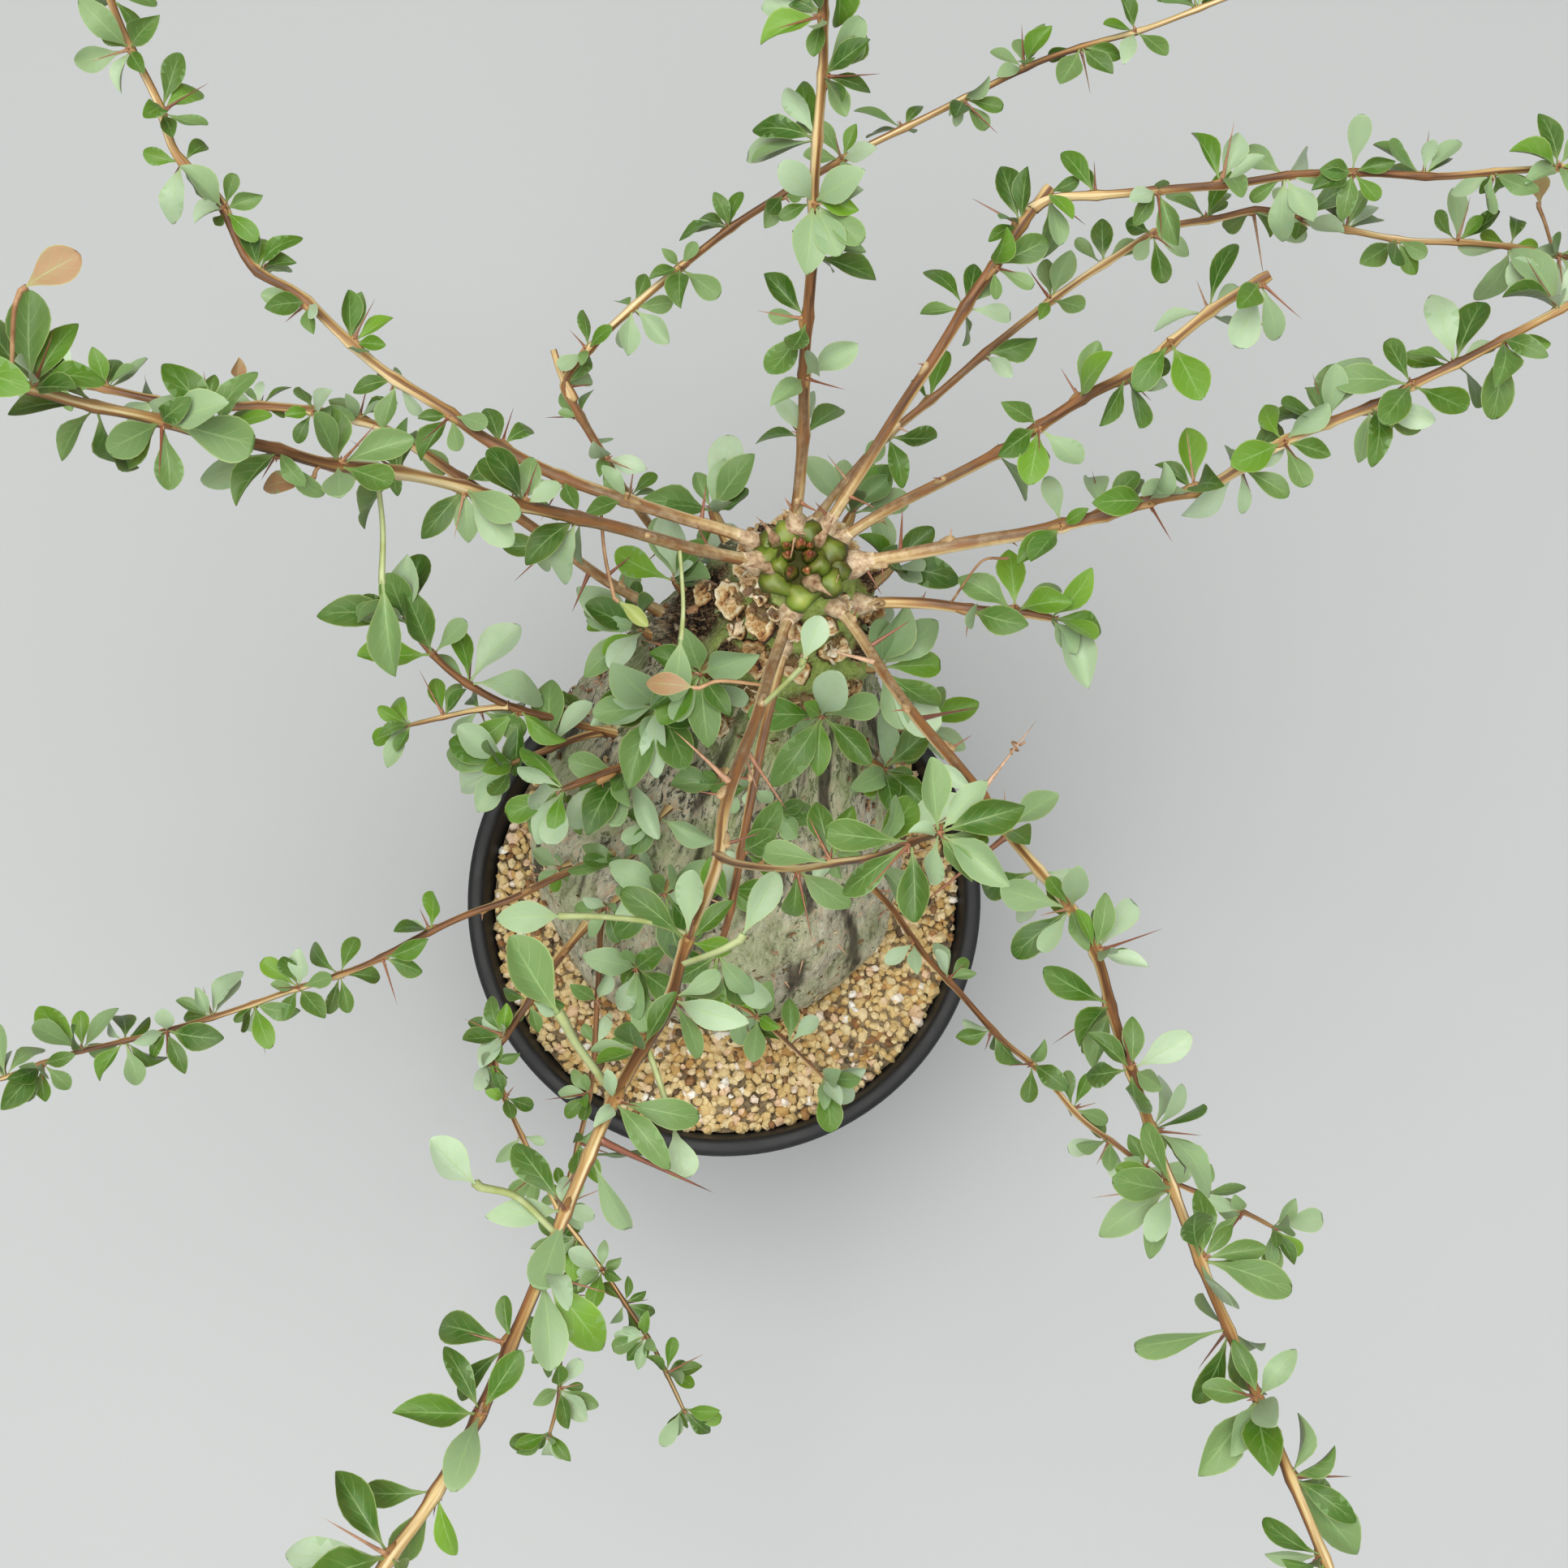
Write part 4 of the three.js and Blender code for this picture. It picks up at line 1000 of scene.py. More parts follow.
def stemLine(stem, wood, tufts, parents, slim):
    # Points of one stem from root to tip with thickness, age of the wood and run
    last = len(stem["route"]) - 1
    steps = last * foliage["samples"]
    back = rootLine(stem["route"], parents)
    shares = [-1.0, -0.9, -0.7, -0.4] + [j / steps for j in range(steps + 1)]
    rows, run, before = [], 0.0, None
    for t in shares:
        point = pointOn(stem["route"], max(t, 0)) + back * foliage["rooted"] * max(-t, 0)
        run += 0 if before is None else float(np.linalg.norm(point - before))
        before = point
        radius = mix(*stem["thick"], max(t, 0)) * slim
        near = min((abs(t - tuft["share"] + growth["tuftBelow"] / last) * last for tuft in tufts), default=9)
        radius *= 1 + foliage["nodeSwell"] * math.exp(-((near / 0.12) ** 2))
        trunk = trunkAt(point[2])
        if trunk:
            off = math.hypot(point[0] - trunk[1], point[1] - trunk[2]) - trunk[3]
            radius *= 1 + foliage["flare"] * max(0, 1 - max(off, 0) / foliage["flareReach"]) ** 1.5
        if parents:
            radius *= 1 + 0.9 * math.exp(-max(run, 0) / 2.5)
        if t < 0:
            radius *= math.sqrt(1 - t * t) if t > -1 else 0.2
        if not stem.get("cut"):
            radius *= 1 - 0.55 * max(0, t - 1 + 0.5 / last) * last * 2
        rows.append((point, radius, wood * (1 - 0.85 * max(t, 0)), run))
    return rows


def swept(name, lines, tree, material, sides=None):
    points, edges, rows = [], [], []
    for line in lines:
        start = len(points)
        points += [row[0] * mm for row in line]
        rows += line
        edges += [(start + k, start + k + 1) for k in range(len(line) - 1)]
    body = meshObject(name, points, [], edges)
    setAttribute(body, "girth", "FLOAT", [row[1] * mm for row in rows])
    setAttribute(body, "age", "FLOAT", [row[2] for row in rows])
    setAttribute(body, "run", "FLOAT", [row[3] for row in rows])
    return settled(body, tree, {
        "Sides": sides or foliage["stemSides"], "Ribs": foliage["stemRibs"],
        "Rib Depth": foliage["ribDepth"], "Material": material,
    })


def leafPlace(leaf, slim):
    a, b, c = leaf["seed"]
    length = leaf["length"]
    return {
        "at": leaf["root"], "x": leaf["along"], "z": leaf["face"],
        "stretch": (length, leaf["width"] * slim, length),
        "form": int(chance(a, b, c + 31) * len(leafForms)),
        "tone": leaf.get("tone", 0.87 * chance(a, b, c + 32)),
    }


# Small leafy sprouts straight from the bark: degrees round the trunk, height, leaf length
# and leaves. The aimed ones have leaves of their own too, each with its tip, width and tone.
barkSprouts = [
    (-149, 276, 15, 3, [((-32.9, 36.1, 281.6), 12.1, 0.62), ((-4.5, 22.8, 281.6), 7.7, 0.3),
                        ((-19.5, 28.6, 281.6), 7.0, 0.2)]),
    (-140, 294, 10, 2, [((10.8, 36.8, 298.6), 5.4, 0.15), ((5.8, 33.5, 298.6), 4.1, 0.7)]),
    (-115, 230, 13, 2, [((-30.8, -15.3, 234.9), 8.5, 0.12), ((-7.6, -17.3, 234.9), 7.3, 0.1),
                        ((-24.8, 8.1, 242.0), 3.2, 0.15), ((-0.9, -3.1, 242.5), 7.4, 0.25)]),
    (-131, 230, 11, 3, [((-40.4, 4.1, 234.8), 5.5, 0.3), ((-46.3, -3.3, 234.8), 3.8, 0.45),
                        ((-20.3, 8.5, 246.0), 3.4, 0.15)]),
    (-116, 193, 10, 2, [((-28.0, -39.8, 197.6), 5.5, 0.76), ((-21.7, -39.8, 197.6), 5.3, 0.5),
                        ((-31.8, -34.8, 197.6), 5.0, 0.8)]),
    (-146, 255, 12, 3, [((-15.7, 3.8, 259.9), 7.0, 0.1), ((-30.1, 17.9, 259.9), 5.8, 0.5)]),
    (-107, 270, 12, 2, [((-12.4, 18.5, 274.8), 8.5, 0.36), ((6.5, 9.3, 274.8), 4.7, 0.2)]),
    (-125, 252, 12, 3, [((-0.5, 2.3, 256.8), 7.5, 0.2), ((-22.0, 3.6, 256.8), 5.3, 0.12)]),
    (-97, 192, 10, 2, [((3.3, -42.1, 196.6), 8.5, 0.84), ((-10.1, -43.4, 196.6), 5.3, 0.7)]),
    (-79, 262, 11, 3, [((29.9, 9.8, 267.0), 5.7, 0.55), ((25.6, 3.3, 267.0), 7.1, 0.3),
                       ((12.3, 6.9, 267.0), 5.2, 0.4)]),
    (-94, 270, 9, 2, [((17.7, 11.7, 274.9), 4.7, 0.15), ((11.2, 10.5, 274.9), 4.2, 0.1)]),
    (-30, 250, 8, 3, [((47.9, 16.5, 253.7), 2.9, 0.3), ((41.7, 17.7, 253.7), 2.9, 0.2),
                      ((50.4, 21.5, 253.7), 2.9, 0.35)]),
    (-158, 228, 12, 6, []), (-150, 206, 9, 5, []), (-129, 212, 10, 6, []), (-56, 240, 11, 5, []),
    (-92, 236, 12, 5, []), (150, 262, 12, 6, []), (110, 255, 13, 6, []), (62, 262, 13, 6, []),
    (20, 262, 12, 6, []), (-8, 230, 11, 5, []), (175, 238, 11, 5, []), (90, 228, 10, 5, []),
]


def sproutStem(degrees, height, length, count, aims):
    trunk = trunkAt(height)
    out = np.array((math.cos(math.radians(degrees)), math.sin(math.radians(degrees)), 0.0))
    foot = np.array((trunk[1], trunk[2], height)) + out * (trunk[3] - 1)
    out[2] = 0.7
    tip = foot + unit(out) * (4.5 + length * 0.16)
    return {
        "thick": (1.0, 0.7), "leaf": (length, length), "leafFrom": 2, "leaves": count, "aims": aims,
        "route": [tuple(foot), tuple(mix(foot, tip, 0.55)), tuple(tip)],
    }


def aimedLeaf(room, tuft, number, tip, width, tone):
    # Toward a given tip, raised a little at a time until the leaf is clear of everything else
    for lift in range(5):
        line = np.array(tip) + (0, 0, lift * 1.8) - tuft["centre"]
        length = float(np.linalg.norm(line))
        along = line / length
        face = np.array((0.25 * math.sin(number * 2.3 + tuft["key"]), -0.15, 1.0))
        leaf = {
            "root": tuft["centre"], "along": along, "face": unit(face - along * face.dot(along)),
            "length": length, "width": width, "tone": tone, "seed": (tuft["key"], number, 700),
        }
        if room.isClear(leafSpheres(leaf), tuft["owner"]):
            break
    room.take(leafSpheres(leaf), tuft["owner"])
    tuft["leaves"].append(leaf)


sproutStems = [sproutStem(*item) for item in barkSprouts]


def growLeaves():
    # First the leaves and spines of the solids, in their order, then the finer ones
    room = Room()
    for owner, stems in enumerate(plants.values()):
        for stem in stems:
            steps = (len(stem["route"]) - 1) * 4
            for i in range(steps + 1):
                room.take([(pointOn(stem["route"], i / steps), mix(*stem["thick"], i / steps))], owner)
    allTufts = []
    for owner, (name, stems) in enumerate(plants.items()):
        for number, stem in enumerate(stems):
            for tuft in tuftsOf(stem, owner, number):
                tuft["plant"], tuft["leaves"], tuft["spine"] = name, [], None
                allTufts.append(tuft)
                for c in range(tuft["count"]):
                    addLeaf(room, tuft, c)
                if (tuft["i"] + owner) % 4 == 0 and not tuft["atTip"] and not tuft["spur"]:
                    addSpine(room, tuft, 11 + 6 * chance(tuft["key"], tuft["i"], 8))
    for tuft in allTufts:
        key, i = tuft["key"], tuft["i"]
        total = foliage["leavesUsual"] + int(chance(key, i, 60) * 3) - 1
        total += foliage["leavesDense"].get(tuft["plant"], 0) if tuft["share"] > 0.42 else 0
        total = foliage["leavesAtTip"] if tuft["atTip"] else total
        total = foliage["leavesOnSpur"] if tuft["spur"] else total
        for c in range(tuft["count"], total):
            addLeaf(room, tuft, c, 0.6 + 0.4 * chance(key, i, c + 61))
        bare = tuft["spine"] is None and not tuft["atTip"] and not tuft["spur"]
        if bare and chance(key, i, 62) < foliage["spineShare"]:
            addSpine(room, tuft, 6 + 10 * chance(key, i, 63))
    for number, stem in enumerate(sproutStems):
        for tuft in tuftsOf(stem, len(plants), number):
            tuft["plant"], tuft["leaves"], tuft["spine"] = "sprouts", [], None
            allTufts.append(tuft)
            for c, aim in enumerate(stem["aims"]):
                aimedLeaf(room, tuft, c, *aim)
            for c in range(stem["leaves"]):
                addLeaf(room, tuft, c, 0.7 + 0.5 * chance(number, c, 80))
    return allTufts


def addLeaf(room, tuft, c, scale=1.0):
    for turnAway in range(6):
        seed = (tuft["key"], tuft["i"], c * 10)
        leaf = leafOf(tuft, seed, turnAway)
        leaf["length"] *= scale
        leaf["width"] *= scale
        if room.isClear(leafSpheres(leaf), tuft["owner"]):
            room.take(leafSpheres(leaf), tuft["owner"])
            tuft["leaves"].append(leaf)
            return


def addSpine(room, tuft, length):
    along = tuft["out"] + tuft["forward"] * 0.35 * (chance(tuft["key"], tuft["i"], 9) - 0.3)
    along = unit(along)
    along[2] -= 0.2
    spine = {"root": tuft["centre"], "along": unit(along), "length": length}
    if room.isClear(spineSpheres(spine), tuft["owner"]):
        room.take(spineSpheres(spine), tuft["owner"])
        tuft["spine"] = spine


def spinePlace(root, along, length, thick, seed, tone):
    return {
        "at": root, "x": along, "z": np.array((0.2, 0.3, 1.0)), "stretch": (length, thick, thick),
        "form": int(seed * len(spineForms)) % len(spineForms), "tone": tone,
    }


def knobPlace(tuft, age):
    r, key, i = tuft["radius"], tuft["key"], tuft["i"]
    out = tuft["out"] - tuft["forward"] * tuft["out"].dot(tuft["forward"])
    grow = 1 + 0.3 * chance(key, i, 70)
    return {
        "at": tuft["centre"] + unit(out) * r * 0.38, "x": out, "z": tuft["forward"],
        "stretch": (0.78 * r * grow, 0.64 * r, 1.05 * r), "form": int(chance(key, i, 71) * len(knobForms)),
        "age": age,
    }


def bareNodes(stem, owner, number, wood):
    # Nodes without leaves near a stem's root: a tooth and a short spine or stub
    last = len(stem["route"]) - 1
    key = stemKey(owner, number)
    knobs, spines = [], []
    for i in range(2, stem.get("leafFrom", last)):
        place = stemFrame(stem["route"], i / last - 0.3 / last)
        angle = i * goldenAngle + owner
        out = place["lift"] * math.sin(angle) + place["side"] * math.cos(angle)
        r = mix(*stem["thick"], i / last)
        tuft = dict(place, out=out, radius=r, key=key, i=i, forward=place["along"])
        knobs.append(knobPlace(tuft, wood))
        along = unit(out + place["along"] * 0.4 * (chance(key, i, 72) - 0.2))
        length = 3 + 8 * chance(key, i, 73) ** 2
        spines.append(spinePlace(
            place["centre"] + out * r * 0.6, along, length, foliage["spineThick"],
            chance(key, i, 74), 0.35 + 0.6 * chance(key, i, 75),
        ))
    return knobs, spines


# Trunk: the solids' sections, smoothed, with bark relief, crown knobs and scars
trunkLook = {
    "around": 252, "drum": 42,
    "stepBuried": 5, "stepBark": 0.95, "stepCrown": 0.42,
    "buriedTo": 134, "crownFrom": 288,
    "ridge": 0.8,  # height of the long bark ridges
    "crack": 1.1,  # depth of the clefts
    "crumb": 0.4,
    "greenFrom": 280, "greenTo": 316,
    "greenSide": -62,  # degrees, the side where the neck's skin is still green
    "deadSide": 174,  # degrees, the side where dead bark has turned black
    "crease": 1.5,  # depth of the folds between the scars of the neck
    # Heights at which each part of the bark starts and is full, and where it fades and is gone
    "dead": (276, 286, 307, 315), "neck": (282, 300, 336, 341), "crown": (338, 343),
    "moundsBelow": 322, "collarsAbove": 312,
    "top": (25, 66, 345.2),
}
woodyKnobs = [  # degrees, height, radius
    (-138, 304, 3.8), (-25, 300, 4.2), (4, 319, 3.8), (-176, 299, 3.2), (128, 325, 3.4),
]
neckScars = [  # degrees, height, radius: old corky places on the neck
    (-133, 324, 5.0), (-170, 315, 4.4), (-120, 309, 4.4), (-163, 333, 3.8), (-98, 327, 3.8),
    (-68, 326, 3.6), (-56, 311, 4.2), (-38, 328, 3.0), (-12, 312, 3.6), (-88, 309, 4.0),
    (150, 326, 4.0), (172, 327, 3.4), (132, 313, 4.4), (105, 325, 3.8), (80, 314, 4.4),
    (50, 325, 3.8), (25, 328, 3.4), (30, 308, 4.6), (-150, 291, 4.6), (-110, 295, 4.0),
    (-75, 293, 4.0), (-40, 288, 4.0), (0, 300, 4.0), (-122, 283, 3.4), (100, 298, 4.6),
    (170, 303, 3.6), (-146, 335, 2.6), (-118, 333, 2.4), (-148, 310, 2.8),
]
crownKnobs = [  # x and y from the top of the neck, width, height, kind: 0 bud, 1 lobe, 2 woody thorn
    (-2.3, -4.3, 3.6, 7.0, 0), (2.9, 0.4, 3.8, 5.6, 0), (5.6, -1.4, 5.2, 4.6, 1),
    (3.2, -6.0, 7.4, 13, 2), (5.4, 5.2, 5.4, 10, 2), (-6.4, 5.2, 5.2, 12, 2), (-7.6, -2.4, 6, 13, 2),
    (0.5, 4.0, 3.4, 6.2, 0), (-3.4, 3.4, 2.8, 4.6, 0), (3.0, 3.6, 2.6, 4.2, 0), (-3.0, 0.7, 3.2, 5.2, 0),
    (2.2, -3.7, 2.6, 4.2, 0), (-6.4, -5.5, 7.4, 4.0, 1), (0.6, -9.4, 7.6, 4.0, 1),
    (8.2, -5.6, 7.4, 4.4, 1), (8.8, 3.2, 7.4, 4.6, 1), (-3.8, 7.6, 6.8, 4.0, 1), (2.6, 8.2, 6.4, 4.0, 1),
    (-9.0, 0.8, 7.0, 3.8, 1), (-8.0, 6.0, 6.0, 3.8, 1), (-5.2, -1.8, 4.6, 4.2, 1), (10.5, -1.4, 6.6, 4.2, 1),
]


def barkRelief(angle, z):
    lobes = 0.022 * np.sin(3 * angle + z * 0.02) + 0.014 * np.sin(7 * angle - z * 0.05)
    return 1 + lobes + 0.008 * np.sin(11 * angle + z * 0.13)


def trunkProfile():
    # Rows of height, axis x, axis y and radius at the steps wanted for each part
    rows = list(trunkSections) + [(346.5, 25, 66, 0.4)]
    last = len(rows) - 1
    dense = np.array([pointOn(rows, t) for t in np.linspace(0, 1, last * 60 + 1)])
    arc = np.concatenate([[0], np.cumsum(np.hypot(np.diff(dense[:, 0]), np.diff(dense[:, 3])))])
    marks, s = [], 0.0
    while s < arc[-1]:
        marks.append(s)
        z = np.interp(s, arc, dense[:, 0])
        step = trunkLook["stepBark"] if z > trunkLook["buriedTo"] else trunkLook["stepBuried"]
        s += step if z < trunkLook["crownFrom"] else trunkLook["stepCrown"]
    return np.array([[np.interp(m, arc, dense[:, i]) for i in range(4)] for m in marks])


def gridNormals(grid):
    up = np.gradient(grid, axis=0)
    wrapped = np.concatenate([grid[:, -1:], grid, grid[:, :1]], axis=1)
    across = (wrapped[:, 2:] - wrapped[:, :-2]) / 2
    normal = np.cross(across, up)
    return normal / np.maximum(np.linalg.norm(normal, axis=2, keepdims=True), 1e-9)


def noiseField(grid, scale, stretch, seed, kind):
    # Noise at each point of a grid, with the axes stretched
    out = np.zeros(grid.shape[:2])
    for i in range(grid.shape[0]):
        for j in range(grid.shape[1]):
            p = grid[i, j]
            q = Vector((p[0] * stretch[0] + seed, p[1] * stretch[1], p[2] * stretch[2])) * scale
            if kind == "ridged":
                out[i, j] = noise.ridged_multi_fractal(q, 1.0, 2.1, 4, 1.0, 2.0)
            else:
                out[i, j] = noise.fractal(q, 0.9, 2.0, 4)
    return out


def smoothStep(value, low, high):
    t = np.clip((value - low) / (high - low), 0, 1)
    return t * t * (3 - 2 * t)


def cellAt(grid, degrees, height):
    # The grid's cell nearest to a direction round the axis at a height
    i = int(np.argmin(np.abs(grid[:, :, 2].mean(axis=1) - height)))
    return i, int(round((degrees % 360) / 360 * grid.shape[1])) % grid.shape[1]


def stemRoots():
    # Where each stem that starts in the trunk comes out of it, and how thick it is there
    roots = []
    for stems in plants.values():
        route, thick = stems[0]["route"], stems[0]["thick"][0]
        for t in np.linspace(0, 0.5, 201):
            p = pointOn(route, t)
            trunk = trunkAt(p[2])
            if trunk is None or math.hypot(p[0] - trunk[1], p[1] - trunk[2]) > trunk[3]:
                roots.append((p, thick))
                break
    return roots


def buildTrunk(material):
    look = trunkLook
    profile = trunkProfile()
    angles = np.linspace(0, math.tau, look["around"], endpoint=False)
    z = profile[:, 0][:, None]
    reach = profile[:, 3][:, None] * barkRelief(angles[None, :], z)
    grid = np.stack([
        profile[:, 1][:, None] + reach * np.cos(angles),
        profile[:, 2][:, None] + reach * np.sin(angles),
        np.broadcast_to(z, reach.shape),
    ], axis=2)
    plain = grid.copy()
    normal = gridNormals(grid)
    heights = grid[:, :, 2]
    # Places on the bark unrolled: round a drum and along the skin, so its grain runs upward
    step = np.hypot(np.diff(profile[:, 0]), np.diff(profile[:, 3]))
    run = np.concatenate([[0], np.cumsum(step)])[:, None]
    drum = look["drum"]
    skin = np.stack([
        np.broadcast_to(drum * np.cos(angles), reach.shape),
        np.broadcast_to(drum * np.sin(angles), reach.shape), np.broadcast_to(run, reach.shape),
    ], axis=2)
    wave = noiseField(grid, 0.05, (1, 1, 0.35), 7, "plain")
    ridges = noiseField(skin, 0.16, (1, 1, 0.14), 31, "ridged")
    crumbs = noiseField(grid, 0.42, (1, 1, 0.6), 53, "plain")
    shreds = noiseField(grid, 0.75, (1, 1, 0.8), 91, "ridged")
    ridges = (ridges - ridges.mean()) / max(ridges.std(), 1e-6)
    shreds = (shreds - shreds.mean()) / max(shreds.std(), 1e-6)
    side = np.cos(angles - math.radians(look["greenSide"]))[None, :]
    climb = heights + wave * 12 + side * 16 - 6
    bark = 1 - smoothStep(climb, look["greenFrom"], look["greenTo"])
    cracks = smoothStep(-ridges, 0.75, 1.9)
    push = bark * (look["ridge"] * np.clip(ridges, -1, 1.4) * 0.5 - look["crack"] * cracks)
    push += look["crumb"] * crumbs * (0.3 + 0.7 * bark)
    scar = np.zeros_like(push)
    ring = np.full_like(push, 9.0)
    char = np.zeros_like(push)

    # Corky scars and dead knobs crowd the neck, with folds of skin between them
    for degrees, height, radius in neckScars:
        away = np.linalg.norm(plain - plain[cellAt(plain, degrees, height)], axis=2) / radius
        away = away * (1 + 0.16 * wave + 0.1 * crumbs)
        dome = np.clip(1 - away**2, 0, 1)
        push += 0.42 * radius * np.sqrt(dome) * (1 + 0.12 * np.clip(shreds, -1, 2))
        torn = 1 - (away * (0.84 + 0.12 * np.clip(shreds, -1, 1))) ** 2
        scar = np.maximum(scar, smoothStep(torn, 0.02, 0.14))
        ring = np.minimum(ring, away)
    for degrees, height, radius in woodyKnobs:
        away = np.linalg.norm(plain - plain[cellAt(plain, degrees, height)], axis=2) / (radius * 1.15)
        dome = np.clip(1 - away**2, 0, 1)
        knob = radius * 0.8 * np.sqrt(dome) * (1 + 0.3 * np.clip(shreds, -1, 2)) * (dome > 0)
        push = np.maximum(push, knob)
        scar = np.maximum(scar, smoothStep(dome, 0.02, 0.25))
        char = np.maximum(char, smoothStep(dome, 0.02, 0.4))
        ring = np.minimum(ring, away)
    # A mound where each stem leaves the bark
    for place, thick in stemRoots():
        away = np.linalg.norm(plain - place, axis=2) / (thick * 3) * (1 + 0.2 * crumbs)
        push += thick * 1.5 * np.exp(-(away**2) * 1.4) * (heights < look["moundsBelow"])
    middle = math.radians(look["deadSide"])
    turned = np.degrees(np.abs(np.arctan2(np.sin(angles - middle), np.cos(angles - middle))))[None, :]
    dead = smoothStep(1 - turned / 34, 0, 0.45) * smoothStep(heights, *look["dead"][:2])
    dead *= (1 - smoothStep(heights, *look["dead"][2:])) * smoothStep(wave + 0.8 * crumbs, -0.4, 0.0)
    push += dead * np.clip(shreds, -1.4, 2) * 0.5
    char = np.maximum(char, dead)
    onNeck = smoothStep(heights, *look["neck"][:2]) * (1 - smoothStep(heights, *look["neck"][2:]))
    fold = onNeck * smoothStep(ring, 1.02, 1.2) * (1 - smoothStep(ring, 1.3, 1.75))
    push += look["crease"] * onNeck * (0.5 * smoothStep(ring, 1.3, 1.9) - 0.35 * fold)
    # Painted shade: a thin dark ring where the foot of each scar meets the fold of skin round it
    creaseShade = onNeck * smoothStep(ring, 0.9, 1.02) * (1 - smoothStep(ring, 1.06, 1.25))
    onCrown = smoothStep(heights, *look["crown"])
    push = push * (1 - 0.8 * onCrown) - 0.8 * onCrown
    grid = grid + normal * push[:, :, None]
    # The top of the neck, under and between the crown knobs, takes the same painted shade
    return grid, trunkMesh(grid, {
        "fleshy": 1 - bark, "scar": scar * (1 - onCrown), "creaseShade": np.maximum(creaseShade, onCrown * 2),
        "crack": cracks * bark, "ridge": np.clip(ridges, -2, 2), "skinPlace": skin, "char": char,
    }, material)


def trunkMesh(grid, fields, material):
    rings, sides = grid.shape[:2]
    vertices = [tuple(p * mm) for p in grid.reshape(-1, 3)]
    vertices.append(tuple(grid[0].mean(axis=0) * mm))
    vertices.append(tuple((grid[-1].mean(axis=0) + (0, 0, 0.1)) * mm))
    faces = ringFaces(rings, sides)
    foot, top = rings * sides, rings * sides + 1
    for k in range(sides):
        follow = (k + 1) % sides
        faces.append((foot, follow, k))
        faces.append((top, (rings - 1) * sides + k, (rings - 1) * sides + follow))
    body = meshObject("bark_skin", vertices, faces)
    for name, field in fields.items():
        kind = "FLOAT_VECTOR" if field.ndim == 3 else "FLOAT"
        ends = np.stack([field[0, 0], field[-1, 0]])
        flat = field.reshape(rings * sides, -1)
        setAttribute(body, name, kind, np.concatenate([flat, ends.reshape(2, -1)]))
    smooth(body)
    body.data.materials.append(material)
    return body


